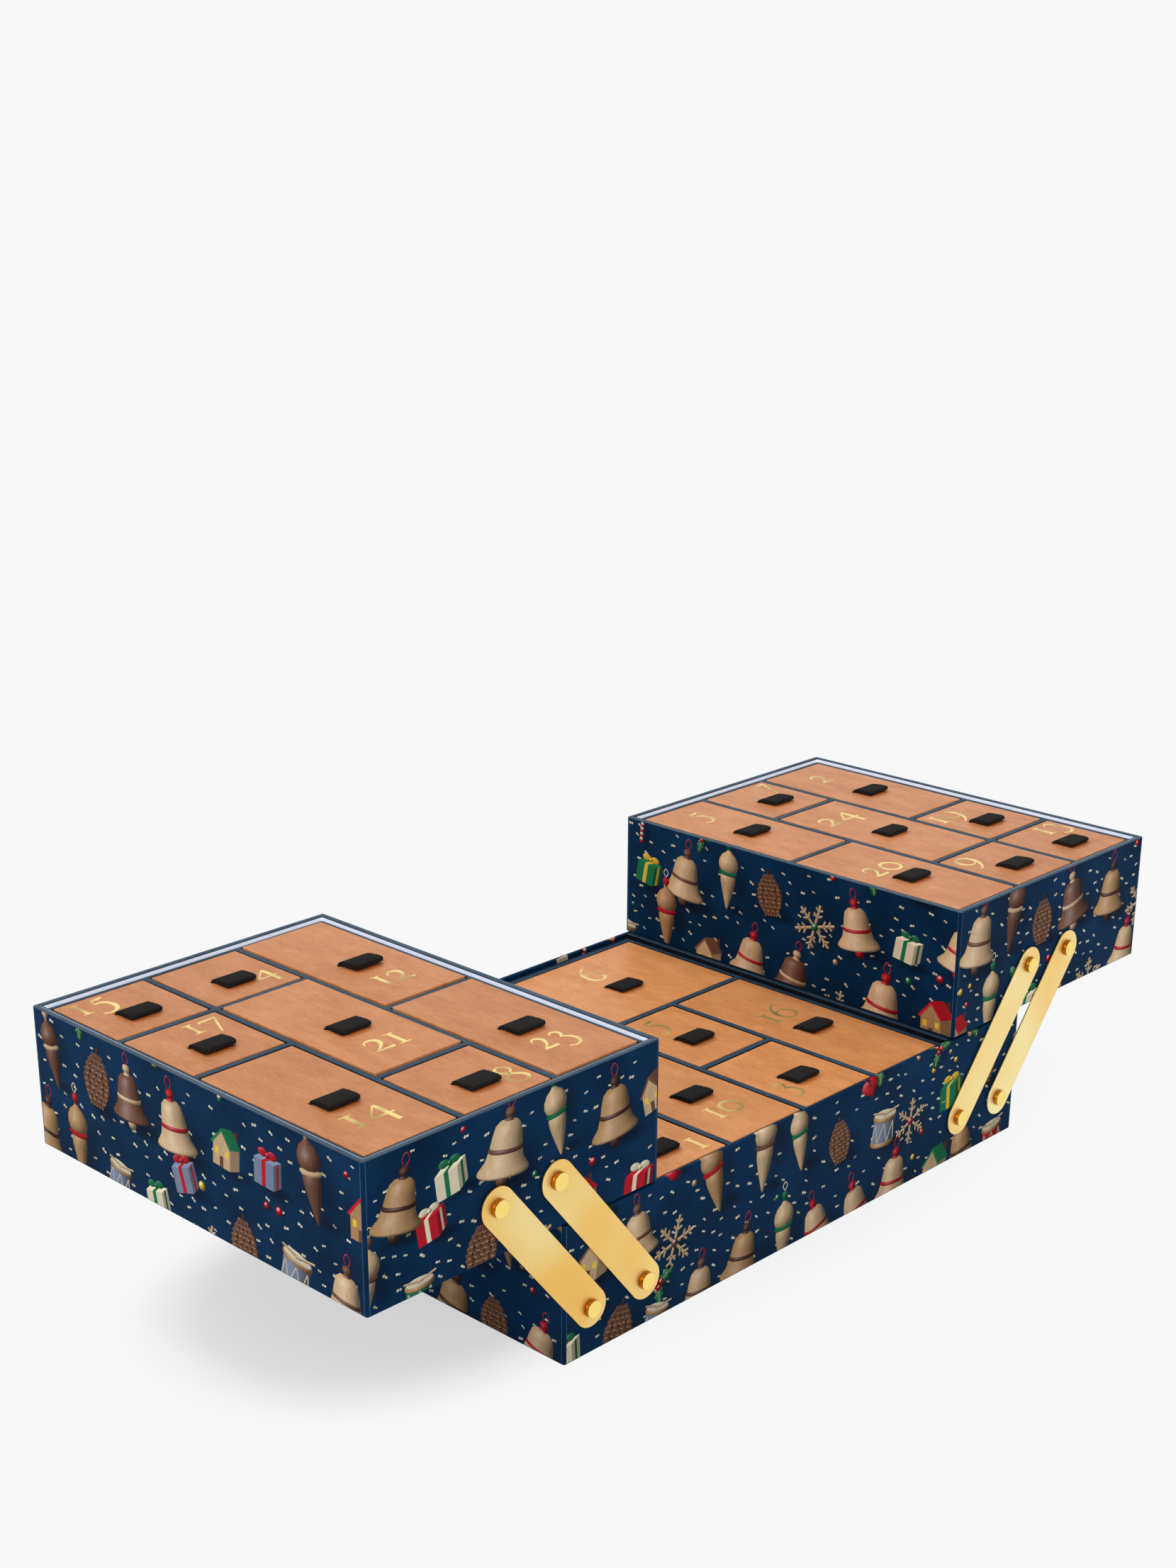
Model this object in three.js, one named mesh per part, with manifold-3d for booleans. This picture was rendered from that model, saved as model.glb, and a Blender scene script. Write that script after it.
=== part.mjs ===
// A cantilever advent calendar box, shown open. A low base box carries two upper trays on eight
// flat arms. The trays swing up and out on the arms and rest on the ends of the base.
// Millimetres, +Z up. The origin is at the middle of the base's underside, +X runs along the
// base's length and +Y goes from the front face to the back face.
import * as THREE from "three";
import { mergeVertices } from "three/addons/utils/BufferGeometryUtils.js";
import Module from "manifold-3d";

const wasm = await Module();
wasm.setup();

// Boxes
const BASE_LENGTH = 400;
const BOX_DEPTH = 265;
const BASE_HEIGHT = 80;
const TRAY_HEIGHT = 80;
const WALL = 3;
const FLOOR = 3;
const CORNER_RADIUS = 1.6;
const SEAT_GAP = 0.3; // glue line between boards
const TRAY_SPLIT = 0.8; // between the two trays when they are closed
const TRAY_LIFT = 1.2; // air under a tray that rests on the base
const OPEN_SHIFT = 130; // how far a tray moves outwards as it opens

// Arms and rivets
const PIVOT_INSET = 18.4; // from the base's end to its first rivet
const PIVOT_PITCH = 41;
const PIVOT_HEIGHT = 27.2; // above the underside of the base and of a tray
const ARM_WIDTH = 22;
const ARM_THICKNESS = 1.2;
const RIVET_HEAD = 10;
const RIVET_HEAD_HEIGHT = 2.4;
const RIVET_EDGE = 0.7; // rounding of the head's edge
const RIVET_SHANK = 5;
const RIVET_CLINCH = 9;
const RIVET_CLINCH_HEIGHT = 1;
const RUNNING_GAP = 0.3;

// Inside the boxes
const LINING = 1.2;
const LINING_DROP = 0.4; // lining's edge below the tray's rim
const TRAY_BORDER = 2.6; // flat ledge between a tray's lining and its lids
const TRAY_DIVIDER_DROP = 2; // dividers' top below the tray's rim
const BASE_BORDER = 4.1;
const DIVIDER = 3.6;
const LID_SEAT = 1.6; // width of the seat under each lid's edge
const DECK = 3; // thickness of the base's end decks
const DECK_SHOW = 2; // how far a deck reaches past the tray that rests on it
const DECK_SEAT = 1.6; // what the divider's cross wall carries of a deck's edge
const DECK_BORDER = 2.6; // flat ledge between a deck and the first lids

// Lids and pull tabs
const LID = 3;
const LID_GAP = 0.8;
const LID_PROUD = 0.4; // lid's top above the dividers
const TAB_WIDTH = 20;
const TAB_LENGTH = 14.5;
const TAB_PLY = 1.2;
const TAB_SLIT = 0.3; // air between the two plies of the folded ribbon
const TAB_CLEARANCE = 0.4; // air under the ribbon
const TAB_TAIL = 6; // ribbon glued under the lid, each way from the slot
const TAB_TAIL_THICKNESS = 0.8;

// Compartments of the base's middle zone, column by column from the left and from the front.
// Each column's last depth is what is left of the zone, so it isn't given.
const FRONT_LEFT_DEPTH = 61;
const MIDDLE_LEFT_DEPTH = 91;
const LONG_DEPTH = 126;
const SMALL_DEPTH = 75.3;

// Facets, and how far a cutter runs past the face that it cuts
const ARM_END_STEPS = 12;
const ROUND_STEPS = 16;
const CORNER_STEPS = 3;
const CUT_PAST = 1;

const TRAY_LENGTH = (BASE_LENGTH - TRAY_SPLIT) / 2;
const TRAY_Z = BASE_HEIGHT + TRAY_LIFT;
const ARM_RUN = OPEN_SHIFT / 2;
const ARM_RISE = TRAY_Z;
const ARM_PIVOT_LENGTH = Math.hypot(ARM_RUN, ARM_RISE);
const TRAY_DIVIDER_EDGE = WALL + SEAT_GAP + LINING + SEAT_GAP;
const TRAY_DIVIDER_TOP = TRAY_HEIGHT - TRAY_DIVIDER_DROP;
const BASE_DIVIDER_EDGE = WALL + SEAT_GAP;
const BASE_DIVIDER_TOP = BASE_HEIGHT - DECK - SEAT_GAP;
const DECK_END = TRAY_LENGTH - OPEN_SHIFT + DECK_SHOW;
const ZONE_START = DECK_END + DECK_BORDER;
const CLINCH_RELIEF = RIVET_CLINCH + 4 * RUNNING_GAP;

const navyPrint = new THREE.MeshStandardMaterial({ color: 0x14304f, roughness: 0.6, metalness: 0 });
const slateBoard = new THREE.MeshStandardMaterial({ color: 0x3a4f63, roughness: 0.65, metalness: 0 });
const paleLining = new THREE.MeshStandardMaterial({ color: 0xd4d9ee, roughness: 0.25, metalness: 0 });
const veneer = new THREE.MeshStandardMaterial({ color: 0xc98f64, roughness: 0.5, metalness: 0 });
const satinGold = new THREE.MeshStandardMaterial({ color: 0xe2bd62, roughness: 0.35, metalness: 1 });
const polishedGold = new THREE.MeshStandardMaterial({ color: 0xe8b84a, roughness: 0.12, metalness: 1 });

// A closed geometry as a solid that can be cut and joined.
function solid(geometry) {
  const bare = new THREE.BufferGeometry();
  bare.setAttribute("position", geometry.getAttribute("position"));
  if (geometry.index) bare.setIndex(geometry.index);
  const merged = mergeVertices(bare, 1e-4);
  return new wasm.Manifold(
    new wasm.Mesh({
      numProp: 3,
      vertProperties: new Float32Array(merged.attributes.position.array),
      triVerts: new Uint32Array(merged.index.array),
    }),
  );
}

// A solid as a named mesh.
function piece(name, body, material) {
  const mesh = body.getMesh();
  const geometry = new THREE.BufferGeometry();
  geometry.setAttribute("position", new THREE.BufferAttribute(mesh.vertProperties, 3));
  geometry.setIndex(new THREE.BufferAttribute(mesh.triVerts, 1));
  geometry.computeVertexNormals();
  const made = new THREE.Mesh(geometry, material);
  made.name = name;
  return made;
}

// An upright block over a rectangle { x0, y0, x1, y1 }, from z0 to z1.
function block(area, z0, z1) {
  const geometry = new THREE.BoxGeometry(area.x1 - area.x0, area.y1 - area.y0, z1 - z0);
  return solid(geometry.translate((area.x0 + area.x1) / 2, (area.y0 + area.y1) / 2, (z0 + z1) / 2));
}

// A block with holes through it.
function grate(area, holes, z0, z1) {
  let body = block(area, z0, z1);
  for (const hole of holes) body = body.subtract(block(hole, z0 - CUT_PAST, z1 + CUT_PAST));
  return body;
}

// A rectangle round the origin.
function centred(length, depth) {
  return { x0: -length / 2, y0: -depth / 2, x1: length / 2, y1: depth / 2 };
}

// A rectangle shrunk by a margin on each side.
function shrunk(area, margin) {
  return {
    x0: area.x0 + margin,
    y0: area.y0 + margin,
    x1: area.x1 - margin,
    y1: area.y1 - margin,
  };
}

// The outline of a box with rounded corners.
function roundedOutline(length, depth, radius) {
  const x = length / 2;
  const y = depth / 2;
  const shape = new THREE.Shape();
  shape.moveTo(-x + radius, -y);
  shape.lineTo(x - radius, -y);
  shape.absarc(x - radius, -y + radius, radius, -Math.PI / 2, 0);
  shape.lineTo(x, y - radius);
  shape.absarc(x - radius, y - radius, radius, 0, Math.PI / 2);
  shape.lineTo(-x + radius, y);
  shape.absarc(-x + radius, y - radius, radius, Math.PI / 2, Math.PI);
  shape.lineTo(-x, -y + radius);
  shape.absarc(-x + radius, -y + radius, radius, Math.PI, 1.5 * Math.PI);
  return shape;
}

// A round bar along Y from y0 to y1, used to bore the rivets' holes.
function bore(x, z, diameter, y0, y1) {
  const geometry = new THREE.CylinderGeometry(diameter / 2, diameter / 2, y1 - y0, ROUND_STEPS);
  return solid(geometry.translate(x, (y0 + y1) / 2, z));
}

// Bores of one diameter through both long sides, at each of the pivots.
function boreBothSides(body, pivots, diameter, inner, outer) {
  let cut = body;
  for (const x of pivots) {
    cut = cut.subtract(bore(x, PIVOT_HEIGHT, diameter, -outer, -inner));
    cut = cut.subtract(bore(x, PIVOT_HEIGHT, diameter, inner, outer));
  }
  return cut;
}

// An open-topped board box with its underside at z = 0, bored for its rivets.
function boardBox(length, height, pivots) {
  const steps = { bevelEnabled: false, curveSegments: CORNER_STEPS };
  const outside = roundedOutline(length, BOX_DEPTH, CORNER_RADIUS);
  const full = solid(new THREE.ExtrudeGeometry(outside, { ...steps, depth: height }));
  const inside = shrunk(centred(length, BOX_DEPTH), WALL);
  const open = full.subtract(block(inside, FLOOR, height + CUT_PAST));
  const hole = RIVET_SHANK + 2 * RUNNING_GAP;
  return boreBothSides(open, pivots, hole, inside.y1 - CUT_PAST, BOX_DEPTH / 2 + CUT_PAST);
}

// Dividers with a recess for each lid on top of a narrower compartment. Bays are plain, without
// lids. The recess floor is the seat that the lid rests on.
function dividers(length, edge, top, cells, bays) {
  const area = shrunk(centred(length, BOX_DEPTH), edge);
  const seat = top + LID_PROUD - LID - SEAT_GAP;
  const rooms = cells.map((cell) => shrunk(cell, LID_SEAT));
  const lower = grate(area, [...rooms, ...bays], FLOOR + SEAT_GAP, seat);
  const upper = grate(area, [...cells, ...bays], seat, top);
  return lower.add(upper);
}

// The folded ribbon as seen from its end: out of the slot, flat towards the front and back under
// itself. y = 0 is the slot's middle and z = 0 is the lid's top face.
function ribbonOutline() {
  const thickness = 2 * TAB_PLY + TAB_SLIT;
  const top = TAB_CLEARANCE + thickness;
  const noseRadius = thickness / 2;
  const noseY = -TAB_LENGTH + noseRadius;
  const shape = new THREE.Shape();
  shape.moveTo(TAB_PLY, -LID / 2);
  shape.lineTo(TAB_PLY, TAB_CLEARANCE);
  shape.quadraticCurveTo(TAB_PLY, top, -TAB_PLY, top);
  shape.lineTo(noseY, top);
  shape.absarc(noseY, top - noseRadius, noseRadius, Math.PI / 2, 1.5 * Math.PI);
  shape.lineTo(-TAB_PLY, TAB_CLEARANCE);
  shape.lineTo(-TAB_PLY, -LID / 2);
  const slit = TAB_CLEARANCE + TAB_PLY;
  shape.holes = [
    new THREE.Path([
      new THREE.Vector2(noseY, slit),
      new THREE.Vector2(-2 * TAB_PLY, slit),
      new THREE.Vector2(-2 * TAB_PLY, slit + TAB_SLIT),
      new THREE.Vector2(noseY, slit + TAB_SLIT),
    ]),
  ];
  return shape;
}

// A lid with its pull tab, its top face at z = 0 and its middle at the origin.
function lid(width, depth) {
  const board = block(centred(width, depth), -LID, 0);
  const steps = { depth: TAB_WIDTH, bevelEnabled: false, curveSegments: CORNER_STEPS };
  const ribbon = new THREE.ExtrudeGeometry(ribbonOutline(), steps);
  // The outline's x and y become the object's Y and Z, and the ribbon's width lies along X.
  ribbon.translate(0, 0, -TAB_WIDTH / 2);
  const turn = new THREE.Matrix4().makeBasis(
    new THREE.Vector3(0, 1, 0),
    new THREE.Vector3(0, 0, 1),
    new THREE.Vector3(1, 0, 0),
  );
  const tail = block(centred(TAB_WIDTH, 2 * TAB_TAIL), -LID - TAB_TAIL_THICKNESS, -LID / 2);
  return board.add(solid(ribbon.applyMatrix4(turn))).add(tail);
}

// A flat arm between two pivots, in the XZ plane with its first pivot at the origin, leaning
// outwards by ARM_RUN over ARM_RISE. side is -1 for the left tray's arms and 1 for the right's.
function arm(side) {
  const radius = ARM_WIDTH / 2;
  const shape = new THREE.Shape();
  shape.moveTo(radius, 0);
  shape.lineTo(radius, ARM_PIVOT_LENGTH);
  shape.absarc(0, ARM_PIVOT_LENGTH, radius, 0, Math.PI);
  shape.lineTo(-radius, 0);
  shape.absarc(0, 0, radius, Math.PI, 2 * Math.PI);
  const hole = RIVET_SHANK / 2 + RUNNING_GAP;
  shape.holes = [0, ARM_PIVOT_LENGTH].map((height) => {
    const ring = new THREE.Path();
    ring.absarc(0, height, hole, 0, 2 * Math.PI);
    return ring;
  });
  const geometry = new THREE.ExtrudeGeometry(shape, {
    depth: ARM_THICKNESS,
    bevelEnabled: false,
    curveSegments: ARM_END_STEPS,
  });
  geometry.rotateX(Math.PI / 2);
  geometry.rotateY(side * Math.atan2(ARM_RUN, ARM_RISE));
  return solid(geometry);
}

// A rivet along Y with its head towards -Y. y = 0 is the outer face of the box's wall.
function rivet() {
  const under = SEAT_GAP + ARM_THICKNESS + RUNNING_GAP;
  const crown = under + RIVET_HEAD_HEIGHT;
  const inside = -WALL - RUNNING_GAP;
  const end = inside - RIVET_CLINCH_HEIGHT;
  const profile = [
    [0, end],
    [RIVET_CLINCH / 2, end],
    [RIVET_CLINCH / 2, inside],
    [RIVET_SHANK / 2, inside],
    [RIVET_SHANK / 2, under],
    [RIVET_HEAD / 2, under],
    [RIVET_HEAD / 2, crown - RIVET_EDGE],
    [RIVET_HEAD / 2 - RIVET_EDGE, crown],
    [0, crown],
  ].map(([radius, height]) => new THREE.Vector2(radius, height));
  const geometry = new THREE.LatheGeometry(profile, ROUND_STEPS);
  return solid(geometry.rotateX(Math.PI));
}

// Cells of one column, from the front, with the given depths; the last one takes what is left.
function column(x0, x1, front, back, depths, numbers) {
  const cells = [];
  let y = front;
  numbers.forEach((number, i) => {
    const last = i === numbers.length - 1;
    const end = last ? back : y + depths[i];
    cells.push({ number, x0, x1, y0: y, y1: end });
    y = end + DIVIDER;
  });
  return cells;
}

// A tray's compartments: three equal columns of four equal rows, where a number given twice in
// a row takes two of them. Columns go from the left and rows from the front.
function trayCells(columns) {
  const edge = TRAY_DIVIDER_EDGE + TRAY_BORDER;
  const left = -TRAY_LENGTH / 2 + edge;
  const front = -BOX_DEPTH / 2 + edge;
  const rows = columns[0].length;
  const width = (-2 * left - DIVIDER * (columns.length - 1)) / columns.length;
  const depth = (-2 * front - DIVIDER * (rows - 1)) / rows;
  return columns.flatMap((numbers, i) => {
    const x0 = left + i * (width + DIVIDER);
    const cells = [];
    numbers.forEach((number, row) => {
      const y0 = front + row * (depth + DIVIDER);
      const before = cells.at(-1);
      if (before && before.number === number) before.y1 = y0 + depth;
      else cells.push({ number, x0, x1: x0 + width, y0, y1: y0 + depth });
    });
    return cells;
  });
}

// The base's middle zone: four equal columns. Number 6 spans the last two at the back.
function baseCells() {
  const start = -BASE_LENGTH / 2 + ZONE_START;
  const front = -BOX_DEPTH / 2 + BASE_DIVIDER_EDGE + BASE_BORDER;
  const back = -front;
  const width = (-2 * start - 3 * DIVIDER) / 4;
  const x = [0, 1, 2, 3].map((i) => start + i * (width + DIVIDER));
  const wideFront = front + 2 * (SMALL_DEPTH + DIVIDER);
  const pairBack = wideFront - DIVIDER;
  return [
    ...column(x[0], x[0] + width, front, back, [FRONT_LEFT_DEPTH, MIDDLE_LEFT_DEPTH], [1, 11, 22]),
    ...column(x[1], x[1] + width, front, back, [LONG_DEPTH], [10, 18]),
    ...column(x[2], x[2] + width, front, pairBack, [SMALL_DEPTH], [3, 25]),
    ...column(x[3], x[3] + width, front, pairBack, [], [16]),
    { number: 6, x0: x[2], x1: x[3] + width, y0: wideFront, y1: back },
  ];
}

// The closed bays under the decks: two at each end, with a rib between them.
function endBays() {
  const outer = BASE_LENGTH / 2 - BASE_DIVIDER_EDGE - BASE_BORDER;
  const inner = BASE_LENGTH / 2 - DECK_END + DECK_SEAT;
  const y = BOX_DEPTH / 2 - BASE_DIVIDER_EDGE - BASE_BORDER;
  const rib = DIVIDER / 2;
  return [
    { x0: -outer, x1: -inner, y0: -y, y1: -rib },
    { x0: -outer, x1: -inner, y0: rib, y1: y },
    { x0: inner, x1: outer, y0: -y, y1: -rib },
    { x0: inner, x1: outer, y0: rib, y1: y },
  ];
}

// Adds a lid for each cell to a box's group, on the seats of dividers that end at top.
function addLids(group, cells, top) {
  for (const cell of cells) {
    const width = cell.x1 - cell.x0 - 2 * LID_GAP;
    const depth = cell.y1 - cell.y0 - 2 * LID_GAP;
    const name = "lid_" + String(cell.number).padStart(2, "0");
    const made = piece(name, lid(width, depth), veneer);
    made.position.set((cell.x0 + cell.x1) / 2, (cell.y0 + cell.y1) / 2, top + LID_PROUD);
    group.add(made);
  }
}

// The base with its dividers, end decks and lids.
function makeBase() {
  const group = new THREE.Group();
  const first = BASE_LENGTH / 2 - PIVOT_INSET;
  const pivots = [-first, -first + PIVOT_PITCH, first - PIVOT_PITCH, first];
  group.add(piece("base_box", boardBox(BASE_LENGTH, BASE_HEIGHT, pivots), navyPrint));

  const cells = baseCells();
  const grid = dividers(BASE_LENGTH, BASE_DIVIDER_EDGE, BASE_DIVIDER_TOP, cells, endBays());
  const border = BOX_DEPTH / 2 - BASE_DIVIDER_EDGE - BASE_BORDER;
  const relieved = boreBothSides(grid, pivots, CLINCH_RELIEF, border - CUT_PAST, BOX_DEPTH / 2);
  group.add(piece("base_divider", relieved, slateBoard));

  const whole = shrunk(centred(BASE_LENGTH, BOX_DEPTH), BASE_DIVIDER_EDGE);
  const inner = BASE_LENGTH / 2 - DECK_END;
  const z = BASE_HEIGHT - DECK;
  const leftDeck = block({ ...whole, x1: -inner }, z, BASE_HEIGHT);
  const rightDeck = block({ ...whole, x0: inner }, z, BASE_HEIGHT);
  group.add(piece("base_left_deck", leftDeck, slateBoard));
  group.add(piece("base_right_deck", rightDeck, slateBoard));
  addLids(group, cells, BASE_DIVIDER_TOP);
  return group;
}

// One tray with its lining, dividers and lids, at its open place. side is -1 or 1.
function makeTray(label, side, columns) {
  const group = new THREE.Group();
  group.position.set(side * (BASE_LENGTH / 2 + OPEN_SHIFT - TRAY_LENGTH / 2), 0, TRAY_Z);
  const outer = side * (TRAY_LENGTH / 2 - PIVOT_INSET - ARM_RUN);
  const pivots = [outer, outer - side * PIVOT_PITCH];
  group.add(piece(label + "_tray_box", boardBox(TRAY_LENGTH, TRAY_HEIGHT, pivots), navyPrint));

  const outside = shrunk(centred(TRAY_LENGTH, BOX_DEPTH), WALL + SEAT_GAP);
  const inside = shrunk(outside, LINING);
  const band = grate(outside, [inside], FLOOR + SEAT_GAP, TRAY_HEIGHT - LINING_DROP);
  const relieved = boreBothSides(band, pivots, CLINCH_RELIEF, inside.y1 - CUT_PAST, BOX_DEPTH / 2);
  group.add(piece(label + "_tray_lining", relieved, paleLining));

  const cells = trayCells(columns);
  const grid = dividers(TRAY_LENGTH, TRAY_DIVIDER_EDGE, TRAY_DIVIDER_TOP, cells, []);
  group.add(piece(label + "_tray_divider", grid, slateBoard));
  addLids(group, cells, TRAY_DIVIDER_TOP);
  return group;
}

// The four arms of one tray, each with a rivet in the base and one in the tray.
function makeArms(label, side) {
  const group = new THREE.Group();
  const first = BASE_LENGTH / 2 - PIVOT_INSET;
  for (const [face, facing] of [["front", -1], ["back", 1]]) {
    const wall = facing * (BOX_DEPTH / 2);
    for (const [place, inset] of [["outer", 0], ["inner", PIVOT_PITCH]]) {
      const name = [label, face, place].join("_");
      const x = side * (first - inset);
      const plain = piece(name + "_arm", arm(side), satinGold);
      const armY = facing < 0 ? wall - SEAT_GAP : wall + SEAT_GAP + ARM_THICKNESS;
      plain.position.set(x, armY, PIVOT_HEIGHT);
      group.add(plain);
      const ends = [
        ["_base_rivet", x, PIVOT_HEIGHT],
        ["_tray_rivet", x + side * ARM_RUN, PIVOT_HEIGHT + ARM_RISE],
      ];
      for (const [ending, rivetX, rivetZ] of ends) {
        const headed = piece(name + ending, rivet(), polishedGold);
        headed.position.set(rivetX, wall, rivetZ);
        headed.rotation.z = facing < 0 ? 0 : Math.PI;
        group.add(headed);
      }
    }
  }
  return group;
}

const calendar = new THREE.Group();
calendar.add(makeBase());
calendar.add(
  makeTray("left", -1, [
    [14, 14, 17, 15],
    [8, 21, 21, 4],
    [23, 23, 12, 12],
  ]),
);
calendar.add(
  makeTray("right", 1, [
    [20, 20, 5, 5],
    [9, 24, 24, 7],
    [13, 19, 2, 2],
  ]),
);
calendar.add(makeArms("left", -1));
calendar.add(makeArms("right", 1));

export default calendar;
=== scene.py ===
# A cantilever advent calendar box, shown open. A low base box carries two upper trays on flat
# gold arms. The boxes are board wrapped in printed paper, and their compartments have veneered
# lids with ribbon pull tabs and foil numbers.
import math
import random

import bmesh
import bpy
from mathutils import Matrix, Vector


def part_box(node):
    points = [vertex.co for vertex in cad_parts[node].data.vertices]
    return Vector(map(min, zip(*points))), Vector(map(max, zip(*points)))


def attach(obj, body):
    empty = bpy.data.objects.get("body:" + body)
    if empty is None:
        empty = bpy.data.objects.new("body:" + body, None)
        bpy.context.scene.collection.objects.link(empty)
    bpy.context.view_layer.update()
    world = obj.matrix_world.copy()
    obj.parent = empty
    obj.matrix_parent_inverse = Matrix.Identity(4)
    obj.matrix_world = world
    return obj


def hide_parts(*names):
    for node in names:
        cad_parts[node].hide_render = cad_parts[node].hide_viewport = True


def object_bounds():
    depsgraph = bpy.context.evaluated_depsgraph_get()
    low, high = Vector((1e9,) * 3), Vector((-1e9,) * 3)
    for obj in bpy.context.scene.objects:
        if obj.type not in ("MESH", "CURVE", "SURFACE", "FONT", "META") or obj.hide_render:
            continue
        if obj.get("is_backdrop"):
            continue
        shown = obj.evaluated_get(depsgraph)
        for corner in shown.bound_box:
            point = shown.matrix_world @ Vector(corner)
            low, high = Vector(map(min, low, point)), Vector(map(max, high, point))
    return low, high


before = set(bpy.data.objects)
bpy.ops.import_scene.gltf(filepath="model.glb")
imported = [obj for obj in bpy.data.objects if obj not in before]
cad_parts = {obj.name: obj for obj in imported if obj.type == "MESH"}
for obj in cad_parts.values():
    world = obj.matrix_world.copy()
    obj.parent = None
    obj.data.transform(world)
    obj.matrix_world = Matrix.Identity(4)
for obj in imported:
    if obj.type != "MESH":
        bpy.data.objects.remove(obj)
cad_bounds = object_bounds()

# Camera. It stands in front of the box's left end and looks down on it. Its place is in metres in
# the box's own frame, and its heading is counted from +Y towards +X.
CAMERA_PLACE = (-0.9204, -0.8350, 0.6120)
CAMERA_HEADING = math.radians(44.50)
CAMERA_TILT = math.radians(20.88)
CAMERA_ROLL = math.radians(-0.37)
CAMERA_LENS = 52.0
CAMERA_SENSOR = 36.0
CAMERA_SHIFT = (0.0437, 0.1056)

camera_data = bpy.data.cameras.new("camera")
camera_data.lens = CAMERA_LENS
camera_data.sensor_width = CAMERA_SENSOR
camera_data.shift_x, camera_data.shift_y = CAMERA_SHIFT
camera = bpy.data.objects.new("camera", camera_data)
camera.matrix_world = (
    Matrix.Translation(CAMERA_PLACE)
    @ Matrix.Rotation(-CAMERA_HEADING, 4, "Z")
    @ Matrix.Rotation(math.pi / 2 - CAMERA_TILT, 4, "X")
    @ Matrix.Rotation(CAMERA_ROLL, 4, "Z")
)
bpy.context.scene.collection.objects.link(camera)
bpy.context.scene.camera = camera
bpy.context.scene.view_settings.view_transform = "Standard"

# Studio. A plain pale floor runs into a backdrop of the same white. A soft key light comes from
# above and behind, and the pale room around fills the shadows.
BACKDROP = 0.939
AMBIENT = 0.54
FLOOR_WHITE = 0.93
FLOOR_REACH = 12.0
# Where the floor keeps shadows: each place's middle, half sizes and the depth of its shadow.
SHADOWS = (((-0.215, -0.005), (0.15, 0.13), 0.28), ((0.0, 0.0), (0.4, 0.19), 0.1))
SHADOW_CORE = 0.6
KEY_POWER = 1.35
KEY_SOFTNESS = math.radians(22)
KEY_FROM = (0.05, 0.46, 1.0)
FILL_POWER = 0.5
FILL_FROM = (-0.9, -0.3, 0.5)


def paint(code):
    """A colour as it is seen, such as c9916a, as the linear colour that shaders take."""
    seen = [int(code[i : i + 2], 16) / 255 for i in (0, 2, 4)]
    linear = [v / 12.92 if v <= 0.04045 else ((v + 0.055) / 1.055) ** 2.4 for v in seen]
    return (*linear, 1.0)


def add(tree, kind, sockets=None, **settings):
    """A new node in a tree. sockets gives its inputs as values or as other nodes' outputs."""
    made = tree.nodes.new(kind)
    for key, value in settings.items():
        setattr(made, key, value)
    for name, value in (sockets or {}).items():
        if isinstance(value, bpy.types.NodeSocket):
            tree.links.new(value, made.inputs[name])
        else:
            made.inputs[name].default_value = value
    return made


def math_node(tree, operation, *values):
    """The output of a Math node."""
    made = add(tree, "ShaderNodeMath", dict(enumerate(values)), operation=operation)
    return made.outputs[0]


def remapped(tree, value, low, high, to_low, to_high, **settings):
    """A value taken from one range to another, and held inside it."""
    sockets = {"Value": value, "From Min": low, "From Max": high, "To Min": to_low, "To Max": to_high}
    return add(tree, "ShaderNodeMapRange", sockets, **settings).outputs["Result"]


def seen_directly(tree):
    """1 where the eye sees the surface itself, a mirror image of it or a view through glass."""
    path = add(tree, "ShaderNodeLightPath")
    both = math_node(tree, "MAXIMUM", path.outputs["Is Camera Ray"], path.outputs["Is Glossy Ray"])
    return math_node(tree, "MAXIMUM", both, path.outputs["Is Transmission Ray"])


def counted_from(tree, place, middle, halves):
    """A place counted from a middle, in half sizes."""
    moved = add(tree, "ShaderNodeVectorMath", {0: place, 1: (*middle, 0)}, operation="SUBTRACT")
    spread = {0: moved.outputs[0], 1: (*halves, 1)}
    return add(tree, "ShaderNodeVectorMath", spread, operation="DIVIDE").outputs[0]


def make_backdrop():
    world = bpy.data.worlds.new("studio")
    world.use_nodes = True
    tree = world.node_tree
    room = tree.nodes["Background"]
    room.inputs["Color"].default_value = paint("f6f8ff")
    room.inputs["Strength"].default_value = AMBIENT
    white = (BACKDROP, BACKDROP, BACKDROP, 1)
    sky = add(tree, "ShaderNodeBackground", {"Color": white, "Strength": 1.0})
    mix = add(tree, "ShaderNodeMixShader", {0: seen_directly(tree)})
    tree.links.new(room.outputs[0], mix.inputs[1])
    tree.links.new(sky.outputs[0], mix.inputs[2])
    tree.links.new(mix.outputs[0], tree.nodes["World Output"].inputs["Surface"])
    bpy.context.scene.world = world


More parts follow.
